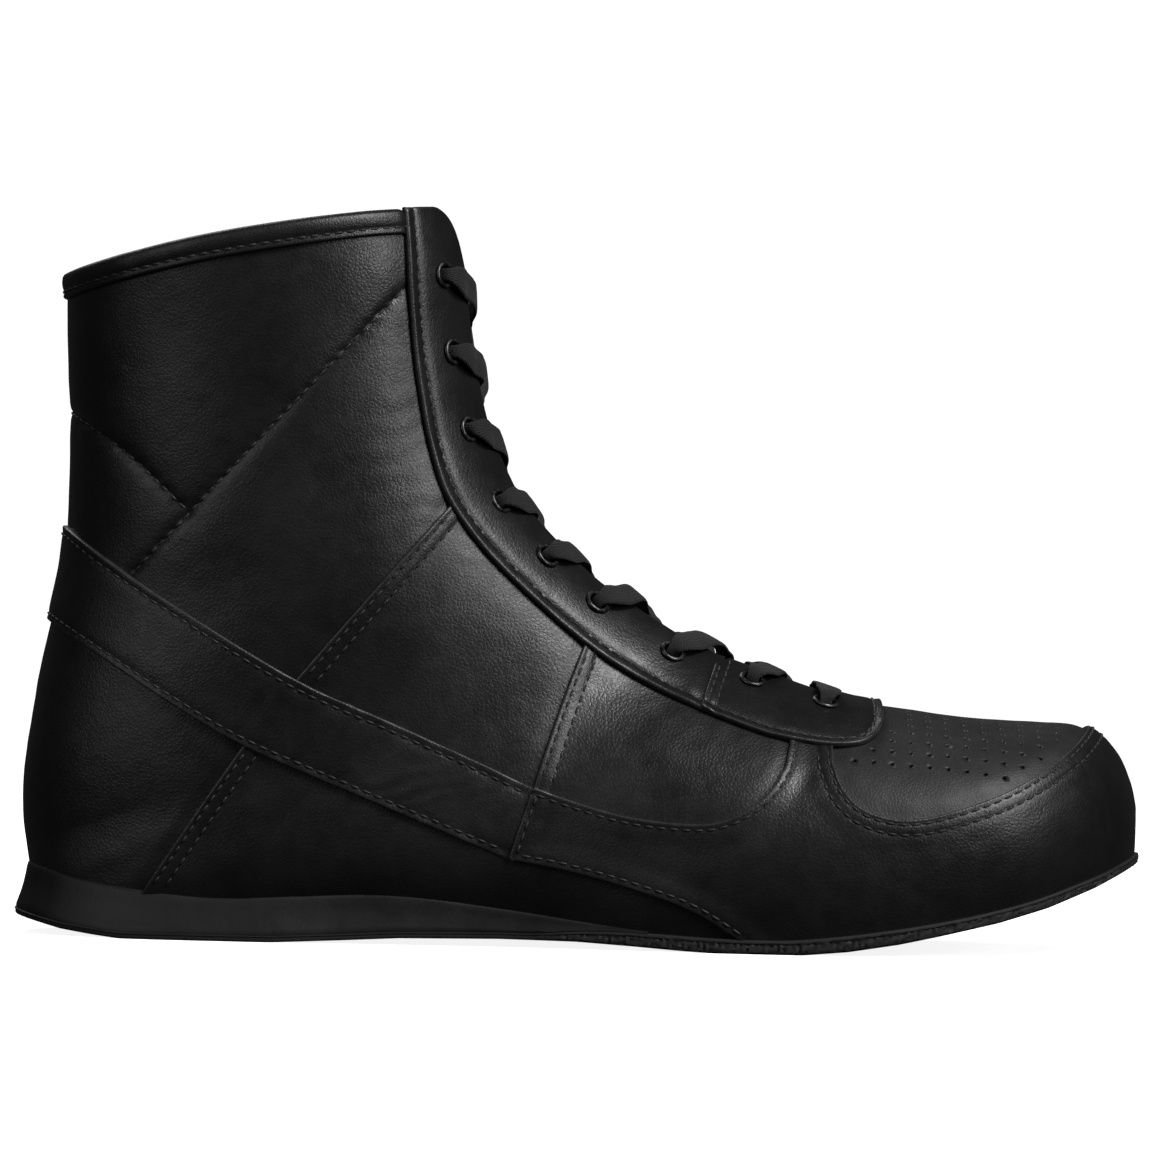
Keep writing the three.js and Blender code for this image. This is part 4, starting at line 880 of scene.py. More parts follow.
# ------------------------------------------------------------------ eyelets
EYELET_OUTLINE = [(2.35, -6.0), (3.1, -6.0), (3.4, -5.85), (3.4, -5.65), (3.0, -5.5), (2.62, -5.4),
                  (2.62, 0.2), (2.9, 0.3), (3.42, 0.28), (3.52, 0.42), (3.46, 0.62), (3.2, 0.85), (2.9, 0.95),
                  (2.6, 0.86), (2.4, 0.6), (2.35, 0.2)]
eyelet_objects = []
for e in eyelets:
    axis = e["out"]
    first = np.cross(axis, [0.0, 0.0, 1.0])
    first /= np.linalg.norm(first)
    second = np.cross(axis, first)
    base = e["centre"] + axis * 0.05
    steps, size = 40, len(EYELET_OUTLINE)
    rings = []
    for k in range(steps):
        a = 2 * math.pi * k / steps
        ray = math.cos(a) * first + math.sin(a) * second
        rings.append([base + ray * r + axis * h for r, h in EYELET_OUTLINE])
    verts, faces = np.array(rings).reshape(-1, 3), []
    for k in range(steps):
        here, there = k * size, (k + 1) % steps * size
        faces += [(here + j, here + (j + 1) % size, there + (j + 1) % size, there + j) for j in range(size)]
    eyelet_objects.append(new_object(e["name"] + "_ring", verts, faces, 50))

# ------------------------------------------------------------------ lace
LACE_WIDTH, LACE_THICK, LACE_TAIL = 7.0, 1.1, 112.0
LACE_UNDER, TONGUE_OUT = 4.0, 5.45
OVER, OVER_HEAD = OVERLAY_OUT + 0.85, OVERLAY_OUT + 2.25
BUNCHED, IN_BORE = LACE_WIDTH * 0.57, 3.4


def eyelet_at(k, side):
    return next(e for e in eyelets if e["k"] == k and e["side"] == side)


def mix(a, b, f):
    return a + (b - a) * f


def lace_rise(e):
    return [(e["u"], e["across"], -LACE_UNDER + 1.3, IN_BORE, 1.3),
            (e["u"], e["across"], OVERLAY_OUT + 0.8, IN_BORE, 1.3)]


def crossing(k, side, rides):
    a, b = eyelet_at(k, side), eyelet_at(k + 1, -side)
    start, end = abs(a["across"]), -abs(b["across"])
    edge_a, edge_b = float(throat_half(a["u"])), float(throat_half(b["u"]))
    arch = {5: 2.6, 6: 1.2}.get(k, 0) if side < 0 else 0

    def point(x, height, width, thick=LACE_THICK):
        f = (start - x) / (start - end)
        reach = abs(x / (end if f > 0.5 else start))
        u = mix(mix(a["ridge"], b["ridge"], f), mix(a["u"], b["u"], f), reach**2)
        return (u, side * x, height + arch * math.sin(math.pi * min(max(f, 0), 1)) ** 2, width, thick)

    middle = (3.6, 2.1, 1.2) if rides else (0.2, -1.3, -2.7)
    return lace_rise(a) + [
        point(start - 1.5, OVER_HEAD + 0.1, LACE_WIDTH * 0.74),
        point(start - 4.2, OVER_HEAD - 0.2, LACE_WIDTH),
        point(start - 7.0, OVER + 0.2, LACE_WIDTH * 1.05),
        point(edge_a - 2.6, OVER - 0.1, LACE_WIDTH),
        point(4.6, middle[0], LACE_WIDTH * 0.85), point(0, middle[1], LACE_WIDTH * 0.8),
        point(-4.6, middle[2], LACE_WIDTH * 0.8),
        point(-edge_b + 2.8, -LACE_UNDER + 0.1, LACE_WIDTH * 0.75),
        point(-edge_b - 2, -LACE_UNDER, LACE_WIDTH * 0.75),
        point(end + 3.4, -LACE_UNDER, BUNCHED), point(end + 0.9, -LACE_UNDER + 0.15, IN_BORE)]


def lace_half(start_side):
    first = eyelet_at(0, start_side)
    half = float(throat_half(first["u"]))
    points = []
    for i in range(7):
        run = EYELET_FIRST + 10 + LACE_TAIL * (6 - i) / 6
        points.append((float(front_to_u(run)), start_side * (half + EYELET_SETBACK + 13),
                       -LACE_UNDER - 0.2, LACE_WIDTH * 0.8, LACE_THICK))
    points.append((float(front_to_u(EYELET_FIRST + 3)), start_side * (half + EYELET_SETBACK + 7),
                   -LACE_UNDER - 0.1, 4.6, LACE_THICK))
    points.append((first["u"], first["across"] + start_side * 0.9, -LACE_UNDER + 0.15, IN_BORE, LACE_THICK))
    side = start_side
    for k in range(len(EYELET_PITCHES)):
        points += crossing(k, side, (side < 0) == (k % 2 == 0))
        side = -side
    last = eyelet_at(len(EYELET_PITCHES), side)

    def bar(inward, height, width):
        across = last["across"] - side * inward
        u = mix(last["ridge"], last["u"], (across / last["across"]) ** 2)
        return (u, across, height, width, LACE_THICK)

    points += lace_rise(last) + [
        bar(1.5, OVER_HEAD + 0.1, LACE_WIDTH * 0.74), bar(4.2, OVER_HEAD, LACE_WIDTH),
                                 bar(7.0, OVER + 0.3, LACE_WIDTH), bar(12, OVER + 0.1, LACE_WIDTH),
                                 bar(18, OVER - 0.5, LACE_WIDTH)]
    return points


def centripetal(points, per):
    """three.js's centripetal Catmull-Rom curve, per points a span."""
    p = np.vstack([2 * points[0] - points[1], points, 2 * points[-1] - points[-2]])
    out = []
    f = np.arange(per)[:, None] / per
    for i in range(len(points) - 1):
        a, b, c, d = p[i], p[i + 1], p[i + 2], p[i + 3]
        t0, t1, t2 = (max(np.linalg.norm(y - x) ** 0.5, 1e-4) for x, y in ((a, b), (b, c), (c, d)))
        ta = ((b - a) / t0 - (c - a) / (t0 + t1) + (c - b) / t1) * t1
        tb = ((c - b) / t1 - (d - b) / (t1 + t2) + (d - c) / t2) * t1
        out.append(hermite(b, c, ta, tb, f))
    return np.vstack(out + [points[-1:]])


route = lace_half(-1) + lace_half(1)[::-1]
centres = np.array([place(u, across, h) for u, across, h, _, _ in route])
per = 7
lace_path = centripetal(centres, per)
sizes = centripetal(np.array([(r[3], r[4]) for r in route]), per)
spots = centripetal(np.array([(r[0] * 100, r[1]) for r in route]), per)
tangents = frames_along(lace_path)
lace_normals = np.array([normal(np.array([s[0] / 100]), np.array([across_to_w(s[0] / 100, s[1])]))[0]
                         for s in spots])
wides = np.empty_like(lace_path)
across = None
for i, (t, n) in enumerate(zip(tangents, lace_normals)):
    wide = np.cross(n, t)
    if across is not None and np.linalg.norm(wide) < 0.5:
        wide = across - t * (across @ t)
    elif across is not None and wide @ across < 0:
        wide = -wide
    across = wide / np.linalg.norm(wide)
    wides[i] = across
for _ in range(3):
    wides[1:-1] = (wides[:-2] + 2 * wides[1:-1] + wides[2:]) / 4
wides -= tangents * (wides * tangents).sum(1)[:, None]
wides /= np.linalg.norm(wides, axis=1)[:, None]
thins = np.cross(tangents, wides)
angle = np.linspace(0, 2 * np.pi, 16, endpoint=False)
shape_x = np.sign(np.cos(angle)) * np.abs(np.cos(angle)) ** 0.55
shape_y = np.sign(np.sin(angle)) * np.abs(np.sin(angle)) ** 0.75
lace_rings = lace_path[:, None] + wides[:, None] * (sizes[:, 0, None] / 2 * shape_x)[..., None] \
    + thins[:, None] * (sizes[:, 1, None] / 2 * shape_y)[..., None]
lace_run = running(lace_path)
verts, faces = sweep(lace_rings)
lace = new_object("lace_band", verts, faces, 60)
uv_layer = lace.data.uv_layers.new(name="weave")
ring_of = np.repeat(np.arange(len(lace_rings)), 16)
slot_of = np.tile(np.arange(16), len(lace_rings))
loop_vertex = np.empty(len(lace.data.loops), np.int32)
lace.data.loops.foreach_get("vertex_index", loop_vertex)
uv = np.stack([lace_run[ring_of[loop_vertex]], shape_x[slot_of[loop_vertex]] * LACE_WIDTH / 2], 1)
uv_layer.data.foreach_set("uv", uv.astype(np.float32).ravel())


def tip(name, start, onward):
    """A moulded tip: a tapered tube with a rolled mouth and a rounded end."""
    away = (start - onward) / np.linalg.norm(start - onward)
    first = np.cross(away, [0.0, 1.0, 0.0])
    first /= np.linalg.norm(first)
    second = np.cross(away, first)
    profile = [(0.0, -0.3), (0.75, -0.3), (1.02, 0.0), (1.05, 0.5), (1.0, 1.0), (0.97, 9.0), (0.93, 16.0),
               (0.86, 17.4), (0.6, 18.0), (0.0, 18.1)]
    rings = [[start + away * (h + 0.3) + (math.cos(a) * first + math.sin(a) * second) * r
              for a in np.linspace(0, 2 * math.pi, 20, endpoint=False)] for r, h in profile[1:-1]]
    v, f = sweep(np.array(rings))
    return new_object(name, v, f, 40)


tips = [tip("lace_tip_lateral", lace_path[0], lace_path[3]),
        tip("lace_tip_medial", lace_path[-1], lace_path[-4])]


# ------------------------------------------------------------------ tongue
def tongue():
    """A padded strip with bound edges, crowned across, thinner at its stitched edge."""
    rows, columns = 110, 48
    top, toe = float(front_to_u(12.0)), float(front_to_u(198.2))
    outer, inner = [], []
    for i in range(rows + 1):
        f = i / rows
        u = mix(top, toe, f)
        narrow = min(1, 0.62 + math.sqrt(max(f, 0)) * 1.35) * 33 * mix(1, 0.74, f)
        for j in range(columns + 1):
            x = -1 + 2 * j / columns
            across = narrow * x
            w = across_to_w(u, across) if abs(across) > 1e-6 else 0.0
            rim = min((1 - abs(x)) * narrow, f * 186, (1 - f) * 186)
            full = ease(rim / 5.0) * 0.62 + 0.38
            bound = 0.35 * math.exp(-((rim - 4.6) / 0.8) ** 2)
            proud = 2.2 * math.exp(-((across / 9.0) ** 2)) * ease(rim / 10.0)
            outer.append((u, w, -TONGUE_OUT - 1.3 * (1 - full) - bound + proud))
            inner.append((u, w, -TONGUE_OUT - 4.0 + 2.2 * (1 - full) + bound))
    outer, inner = np.array(outer), np.array(inner)
    wobble = 0.12 * waves(skin(outer[:, 0], outer[:, 1]), 61, 30.0)
    a = at_height(outer[:, 0], outer[:, 1], outer[:, 2] - np.abs(wobble))
    b = at_height(inner[:, 0], inner[:, 1], inner[:, 2] + wobble)
    n = columns + 1
    total = len(a)
    faces = []
    for i in range(rows):
        for j in range(columns):
            p = i * n + j
            faces.append((p, p + n, p + n + 1, p + 1))
            faces.append((p + total, p + 1 + total, p + n + 1 + total, p + n + total))
    loop = [j for j in range(n)] + [i * n + columns for i in range(1, rows + 1)] \
        + [rows * n + j for j in range(columns - 1, -1, -1)] + [i * n for i in range(rows - 1, 0, -1)]
    for p, q in zip(loop, loop[1:] + loop[:1]):
        faces.append((p, q, q + total, p + total))
    return new_object("tongue_pad", np.vstack([a, b]), faces, 60)


tongue_pad = tongue()


# ------------------------------------------------------------------ sole
def level_on(curve, x):
    return np.interp(x, curve[:, 0], curve[:, 1])


def feather(us, side):
    """Where the upper's outer face meets the sole."""
    low, high = np.full(len(us), 0.4), np.full(len(us), 1.0)
    for _ in range(30):
        w = (low + high) / 2
        p = at_height(us, side * w, LEATHER_OUT)
        over = p[:, 2] > level_on(SOLE_TOP, p[:, 0])
        low, high = np.where(over, w, low), np.where(over, high, w)
    return at_height(us, side * low, LEATHER_OUT)


heel_us = np.linspace(0.3, 0.6, 3000)
heel_end = at_height(heel_us, np.ones(3000), LEATHER_OUT)
HEEL_U = float(heel_us[np.argmax(heel_end[:, 2] <= level_on(SOLE_TOP, heel_end[:, 0]))])
SOLE_STATIONS, SOLE_SPANS = 420, 44
sole_u = mix(HEEL_U, 1.0, (1 - np.cos(np.pi * np.linspace(0, 1, 900))) / 2)


def sole_side(side):
    p = feather(sole_u, side)
    p[0, 1] = p[-1, 1] = 0
    run = running(p[:, :2])
    p = resampled(np.linspace(0, run[-1], SOLE_STATIONS + 1), run, p)
    for _ in range(6):
        p[1:-1] = (p[:-2] + 2 * p[1:-1] + p[2:]) / 4
    d = np.gradient(p[:, :2], axis=0)
    out = np.stack([-d[:, 1], d[:, 0]], 1) * side
    out /= np.linalg.norm(out, axis=1)[:, None]
    out[0], out[-1] = (-1, 0), (1, 0)
    return p, out


sole_sides = [sole_side(-1), sole_side(1)]


def outsole_top(x):
    return mix(level_on(SOLE_BOTTOM, x) + 1.6, level_on(SOLE_TOP, x), ease((x + 14) / 38))


def flare(x):
    return mix(3.6, 1.0, ease((x + 120) / 130))


def wedge_rim(x):
    return mix(0.4, 1.0, ease((x + 60) / 90))


def sole_layer(name, profile, until=1000.0, tread=False, ribs=None):
    """A layer of the sole. profile(x) gives rows (reach, z) from its top's inner edge, down the
    side, to its bottom's inner edge. The two sides are joined by strips across."""
    loops = []
    for side in (0, 1):
        p, out = sole_sides[side]
        keep = p[:, 0] <= until
        p, out = p[keep], out[keep]
        rows = profile(p[:, 0])
        run = running(p[:, :2])
        pts = []
        for j, (reach, z) in enumerate(rows):
            if ribs:
                reach = reach + ribs(p[:, 0], run, j)
            q = p[:, :2] + out * np.reshape(reach, (-1, 1)) * np.ones((len(p), 1))
            pts.append(np.column_stack([q, np.broadcast_to(z, len(p))]))
        loops.append(np.array(pts))
    count = min(loops[0].shape[1], loops[1].shape[1])
    left, right = loops[0][:, :count], loops[1][:, :count]
    f = np.linspace(0, 1, SOLE_SPANS + 1)[1:-1]
    rings = []
    for i in range(count):
        across_bottom = left[-1, i] + (right[-1, i] - left[-1, i]) * f[:, None]
        if tread:
            across_bottom[:, 2] += tread(across_bottom)
        across_top = right[0, i] + (left[0, i] - right[0, i]) * f[:, None]
        rings.append(np.vstack([left[:, i], across_bottom, right[::-1, i], across_top]))
    verts, faces = sweep(np.array(rings))
    return new_object(name, verts, faces, 45)


def wedge_profile(x):
    top, bottom = level_on(SOLE_TOP, x) + 0.5, outsole_top(x) + 0.02
    bottom = np.minimum(bottom, top - 0.03)
    wide, high = flare(x), wedge_rim(x)
    tall = top - bottom
    rows = [(-4.0, top)]
    for f in (0.0, 0.03, 0.1, 0.25, 0.45, 0.65, 0.82, 0.93, 1.0):
        hollow = -0.55 * math.sin(math.pi * f) * np.clip(tall / 14, 0, 1)
        soft = 0.35 * (math.exp(-f / 0.03) + math.exp(-(1 - f) / 0.03))
        rows.append((mix(high, wide, f) + hollow - soft, top - tall * f))
    return rows + [(-4.0, bottom)]


def outsole_profile(x):
    top, bottom = outsole_top(x) + 0.1, level_on(SOLE_BOTTOM, x)
    wide = flare(x)
    tall = top - bottom
    rows = [(-3.0, top)]
    for f, back in ((0.0, 0.45), (0.04, 0.14), (0.12, 0.0), (0.24, 0.02), (0.3, 0.28),
                    (0.4, 0.22), (0.55, 0.2),
                    (0.7, 0.2), (0.85, 0.25), (0.94, 0.4), (1.0, 0.75)):
        rows.append((wide - back, top - tall * f))
    return rows + [(-1.6, bottom), (-3.0, bottom)]


KNURLED_ROWS = range(5, 10)


def knurl(x, run, row):
    """Close upright nicks round the edge of the forefoot, under a smooth rim."""
    if row not in KNURLED_ROWS:
        return 0.0
    grown = ease((x + 30) / 40)
    rng = np.random.default_rng(70 + row)
    return grown * (0.2 * np.sign(np.sin(run * 2 * np.pi / 1.9 + 0.4 * row))
                    + 0.1 * rng.normal(size=len(run)))


def tread(p):
    """Shallow zigzag grooves across the sole, clear of its rim."""
    zigzag = np.abs((p[:, 1] / 9.0) % 1 - 0.5) * 5.0
    wave = np.abs(((p[:, 0] + zigzag) / 5.2) % 1 - 0.5)
    return 0.5 * ease((0.17 - wave) / 0.05)


outsole = sole_layer("outsole_rubber", outsole_profile, tread=tread, ribs=knurl)
wedge = sole_layer("heel_wedge_rubber", wedge_profile, until=20.0)


# ------------------------------------------------------------------ sock liner
def sock_liner():
    """The cushioned liner over the insole board, cupped a little at its edge."""
    us = mix(HEEL_U + 0.012, 0.992, (1 - np.cos(np.pi * np.linspace(0, 1, 150))) / 2)
    edges = []
    for side in (-1, 1):
        low, high = np.full(len(us), 0.4), np.full(len(us), 1.0)
        for _ in range(30):
            w = (low + high) / 2
            p = at_height(us, side * w, LINING_IN - 0.35)
            over = p[:, 2] > level_on(SOLE_TOP, p[:, 0]) + 4.2
            low, high = np.where(over, w, low), np.where(over, high, w)
        edges.append(at_height(us, side * low, LINING_IN - 0.35))
    left, right = edges
    spans = 40
    rings = []
    for a, b in zip(left, right):
        f = np.linspace(0, 1, spans + 1)
        line = a + (b - a) * f[:, None]
        rim = np.minimum(f, 1 - f) * np.linalg.norm(b - a)
        rim = np.minimum(rim, np.minimum(np.linalg.norm(a - left[0]), np.linalg.norm(a - left[-1])) + 0.4)
        base = level_on(SOLE_TOP, line[:, 0]) + 2.15
        lip = 0.9 * np.exp(-((rim / 6.0) ** 2)) * ease(rim / 1.2)
        top = base + 4.0 * (0.35 + 0.65 * ease(rim / 1.6)) + lip - 0.4
        upper = np.column_stack([line[:, :2], top])
        lower = np.column_stack([line[:, :2], base])
        rings.append(np.vstack([upper, lower[::-1]]))
    verts, faces = sweep(np.array(rings))
    return new_object("sock_liner_pad", verts, faces, 50)


sock_pad = sock_liner()


# ------------------------------------------------------------------ perforations
def perforate(panel, pitch=4.85, radius=0.56):
    us = np.linspace(0.6, 0.995, 160)
    verts, faces = [], []
    for j in range(-9, 10):
        ws = np.array([across_to_w(u, j * pitch) if j else 0.0 for u in us])
        line = at_height(us, ws, LEATHER_OUT)
        for x in np.arange(61.5, 140, pitch):
            if not line[0, 0] < x < line[-1, 0]:
                continue
            uv = np.array([[np.interp(x, line[:, 0], us), np.interp(x, line[:, 0], ws)]])
            s = Spots(uv)
            if s.field("vamp")[0] < 3.4 or s.field("eyestay")[0] > -2.2 or abs(uv[0, 1]) > 0.98:
                continue
            axis = s.n[0]
            first = np.cross(axis, [1.0, 0.3, 0.0])
            first /= np.linalg.norm(first)
            second = np.cross(axis, first)
            base = len(verts)
            for h in (-3.0, 3.0):
                for k in range(12):
                    a = k * math.pi / 6
                    ray = math.cos(a) * first + math.sin(a) * second
                    verts.append(s.outer[0] + axis * h + radius * ray)
            faces += [(base + k, base + (k + 1) % 12, base + 12 + (k + 1) % 12, base + 12 + k)
                      for k in range(12)]
            faces.append(tuple(base + k for k in range(11, -1, -1)))
            faces.append(tuple(base + 12 + k for k in range(12)))
    cutter = new_object("cutter", np.array(verts), faces, None)
    target = panel.object
    modifier = target.modifiers.new("holes", "BOOLEAN")
    modifier.operation, modifier.solver, modifier.object = "DIFFERENCE", "MANIFOLD", cutter
    cut = bpy.data.meshes.new_from_object(target.evaluated_get(bpy.context.evaluated_depsgraph_get()))
    target.modifiers.clear()
    target.data = cut
    bpy.data.objects.remove(cutter)


perforate(panels["vamp"])


# ------------------------------------------------------------------ materials
def shader(name):
    m = bpy.data.materials.new(name)
    m.use_nodes = True
    nodes, links = m.node_tree.nodes, m.node_tree.links
    return m, nodes, links, nodes["Principled BSDF"]


def texture(nodes, links, kind, scale, vector, **settings):
    t = nodes.new(kind)
    t.inputs["Scale"].default_value = scale
    for key, value in settings.items():
        if key in t.inputs:
            t.inputs[key].default_value = value
        else:
            setattr(t, key, value)
    links.new(vector, t.inputs["Vector"])
    return t


def remap(nodes, links, value, low, high, to_low, to_high):
    r = nodes.new("ShaderNodeMapRange")
    for key, v in zip(("From Min", "From Max", "To Min", "To Max"), (low, high, to_low, to_high)):
        r.inputs[key].default_value = v
    links.new(value, r.inputs["Value"])
    return r.outputs["Result"]


def blended(nodes, links, factor, a, b):
    c = nodes.new("ShaderNodeMix")
    c.data_type = "RGBA"
    for socket, value in ((6, a), (7, b)):
        if hasattr(value, "is_linked"):
            links.new(value, c.inputs[socket])
        else:
            c.inputs[socket].default_value = (*value, 1)
    links.new(factor, c.inputs[0])
    return c.outputs[2]


def math_node(nodes, links, op, *values):
    n = nodes.new("ShaderNodeMath")
    n.operation = op
    for i, v in enumerate(values):
        if hasattr(v, "is_linked"):
            links.new(v, n.inputs[i])
        else:
            n.inputs[i].default_value = v
    return n.outputs[0]


def bump(nodes, links, height, strength, distance, under=None):
    b = nodes.new("ShaderNodeBump")
    b.inputs["Strength"].default_value = strength
    b.inputs["Distance"].default_value = distance
    links.new(height, b.inputs["Height"])
    if under:
        links.new(under, b.inputs["Normal"])
    return b.outputs["Normal"]


def leather(name, dark, light, roughness, grain=950, depth=0.00006, lit_and_worn_edges=True):
    m, nodes, links, bsdf = shader(name)
    spot = nodes.new("ShaderNodeTexCoord").outputs["Object"]
    mottle = texture(nodes, links, "ShaderNodeTexNoise", 38, spot, Detail=5, Roughness=0.6)
    tone = blended(nodes, links, remap(nodes, links, mottle.outputs["Fac"], 0.35, 0.7, 0, 1), dark, light)
    # Cut edges are painted lighter: a painted edge highlight, together with patchy edge wear.
    if lit_and_worn_edges:
        edge_highlight_and_wear = nodes.new("ShaderNodeAttribute")
        edge_highlight_and_wear.attribute_name = "edge_highlight_and_wear"
        patchy = texture(nodes, links, "ShaderNodeTexNoise", 420, spot, Detail=3)
        amount = math_node(nodes, links, "MULTIPLY", edge_highlight_and_wear.outputs["Fac"],
                           remap(nodes, links, patchy.outputs["Fac"], 0.3, 0.7, 0.35, 1))
        tone = blended(nodes, links, amount, tone, (0.04, 0.039, 0.038))
    links.new(tone, bsdf.inputs["Base Color"])
    cells = texture(nodes, links, "ShaderNodeTexVoronoi", grain, spot, feature="DISTANCE_TO_EDGE")
    pores = texture(nodes, links, "ShaderNodeTexNoise", grain * 2.6, spot, Detail=3)
    folds = texture(nodes, links, "ShaderNodeTexNoise", 230, spot, Detail=6, Roughness=0.62, Distortion=0.4)
    rough = math_node(nodes, links, "ADD",
                      remap(nodes, links, mottle.outputs["Fac"], 0.3, 0.75,
                             roughness - 0.04, roughness + 0.06),
                      remap(nodes, links, folds.outputs["Fac"], 0.35, 0.7, -0.03, 0.04))
    links.new(rough, bsdf.inputs["Roughness"])
    n = bump(nodes, links, folds.outputs["Fac"], 0.35, depth * 4)
    n = bump(nodes, links, remap(nodes, links, cells.outputs["Distance"], 0, 0.28, 0, 1), 0.5, depth, n)
    n = bump(nodes, links, pores.outputs["Fac"], 0.3, depth * 0.5, n)
    links.new(n, bsdf.inputs["Normal"])
    bsdf.inputs["Specular IOR Level"].default_value = 0.42
    return m


def rubber(name, colour, light, roughness, speck=700):
    m, nodes, links, bsdf = shader(name)
    spot = nodes.new("ShaderNodeTexCoord").outputs["Object"]
    scuff = texture(nodes, links, "ShaderNodeTexNoise", 55, spot, Detail=7, Roughness=0.7)
    fine = texture(nodes, links, "ShaderNodeTexNoise", speck, spot, Detail=4)
    links.new(blended(nodes, links,
                      remap(nodes, links, scuff.outputs["Fac"], 0.4, 0.75, 0, 1), colour, light),
              bsdf.inputs["Base Color"])
    links.new(remap(nodes, links, scuff.outputs["Fac"], 0.3, 0.7, roughness - 0.08, roughness + 0.08),
              bsdf.inputs["Roughness"])
    links.new(bump(nodes, links, fine.outputs["Fac"], 0.4, 0.00012), bsdf.inputs["Normal"])
    bsdf.inputs["Specular IOR Level"].default_value = 0.35
    return m


def woven_lace():
    """Flat braid: yarns run in from both edges to meet in a herringbone."""
    m, nodes, links, bsdf = shader("lace_braid")
    parts = nodes.new("ShaderNodeSeparateXYZ")
    uv_map = nodes.new("ShaderNodeUVMap")
    uv_map.uv_map = "weave"
    links.new(uv_map.outputs["UV"], parts.inputs[0])
    run, across = parts.outputs[0], parts.outputs[1]
    slant = math_node(nodes, links, "MULTIPLY", math_node(nodes, links, "ABSOLUTE", across), 0.9)
    yarn = math_node(nodes, links, "SINE", math_node(
        nodes, links, "MULTIPLY", math_node(nodes, links, "ADD", run, slant), 2 * math.pi / 1.05))
    strand = math_node(nodes, links, "SINE", math_node(nodes, links, "MULTIPLY", across, 2 * math.pi / 1.0))
    weave = math_node(nodes, links, "ADD", math_node(nodes, links, "MULTIPLY", yarn, 0.6),
                      math_node(nodes, links, "MULTIPLY", strand, 0.4))
    spot = nodes.new("ShaderNodeTexCoord").outputs["Object"]
    fuzz = texture(nodes, links, "ShaderNodeTexNoise", 2600, spot, Detail=3)
    level = remap(nodes, links, weave, -1, 1, 0, 1)
    tone = blended(nodes, links, level, (0.003, 0.003, 0.003), (0.016, 0.016, 0.0165))
    links.new(tone, bsdf.inputs["Base Color"])
    links.new(remap(nodes, links, fuzz.outputs["Fac"], 0.3, 0.7, 0.72, 0.92), bsdf.inputs["Roughness"])
    links.new(bump(nodes, links, fuzz.outputs["Fac"], 0.3, 0.0001, bump(nodes, links, level, 0.9, 0.00022)),
              bsdf.inputs["Normal"])
    bsdf.inputs["Specular IOR Level"].default_value = 0.3
    bsdf.inputs["Sheen Weight"].default_value = 0.06
    bsdf.inputs["Sheen Roughness"].default_value = 0.5
    return m


def textile(name, dark, light, pitch=0.0011):
    """Knitted lining: close rows of small loops with a soft nap."""
    m, nodes, links, bsdf = shader(name)
    spot = nodes.new("ShaderNodeTexCoord").outputs["Object"]
    parts = nodes.new("ShaderNodeSeparateXYZ")
    links.new(spot, parts.inputs[0])
    k = 2 * math.pi / pitch
    around = math_node(nodes, links, "ADD", parts.outputs[0], parts.outputs[1])
    loops = math_node(nodes, links, "MULTIPLY",
                      math_node(nodes, links, "SINE", math_node(nodes, links, "MULTIPLY", around, k)),
                      math_node(nodes, links, "SINE",
                                 math_node(nodes, links, "MULTIPLY", parts.outputs[2], k)))
    nap = texture(nodes, links, "ShaderNodeTexNoise", 1800, spot, Detail=4)
    shade = texture(nodes, links, "ShaderNodeTexNoise", 45, spot, Detail=4)
    height = math_node(nodes, links, "ADD",
                       math_node(nodes, links, "MULTIPLY", loops, 0.5), nap.outputs["Fac"])
    mixed = math_node(nodes, links, "ADD",
                      math_node(nodes, links, "MULTIPLY", loops, 0.25), shade.outputs["Fac"])
    links.new(blended(nodes, links, remap(nodes, links, mixed, 0.2, 0.85, 0, 1), dark, light),
              bsdf.inputs["Base Color"])
    links.new(remap(nodes, links, nap.outputs["Fac"], 0.3, 0.7, 0.85, 0.97), bsdf.inputs["Roughness"])
    links.new(bump(nodes, links, height, 0.5, 0.00018), bsdf.inputs["Normal"])
    bsdf.inputs["Sheen Weight"].default_value = 0.3
    return m


def thread():
    m, nodes, links, bsdf = shader("thread")
    spot = nodes.new("ShaderNodeTexCoord").outputs["Object"]
    twist = texture(nodes, links, "ShaderNodeTexWave", 900, spot, Distortion=3.0)
    links.new(blended(nodes, links, twist.outputs["Fac"], (0.003, 0.003, 0.003), (0.014, 0.014, 0.014)),
              bsdf.inputs["Base Color"])
    links.new(remap(nodes, links, twist.outputs["Fac"], 0, 1, 0.5, 0.7), bsdf.inputs["Roughness"])
    links.new(bump(nodes, links, twist.outputs["Fac"], 0.4, 0.00006), bsdf.inputs["Normal"])
    return m


def metal():
    """Black enamel over brass, rubbed through to grey on the rim."""
    m, nodes, links, bsdf = shader("eyelet_enamel")
    spot = nodes.new("ShaderNodeTexCoord").outputs["Object"]
    rub = texture(nodes, links, "ShaderNodeTexNoise", 900, spot, Detail=4)
    links.new(blended(nodes, links, remap(nodes, links, rub.outputs["Fac"], 0.4, 0.65, 0, 1),
                      (0.03, 0.03, 0.032), (0.085, 0.085, 0.09)), bsdf.inputs["Base Color"])
    bsdf.inputs["Metallic"].default_value = 0.85
    links.new(remap(nodes, links, rub.outputs["Fac"], 0.3, 0.7, 0.28, 0.42), bsdf.inputs["Roughness"])
    links.new(bump(nodes, links, rub.outputs["Fac"], 0.15, 0.00003), bsdf.inputs["Normal"])
    return m


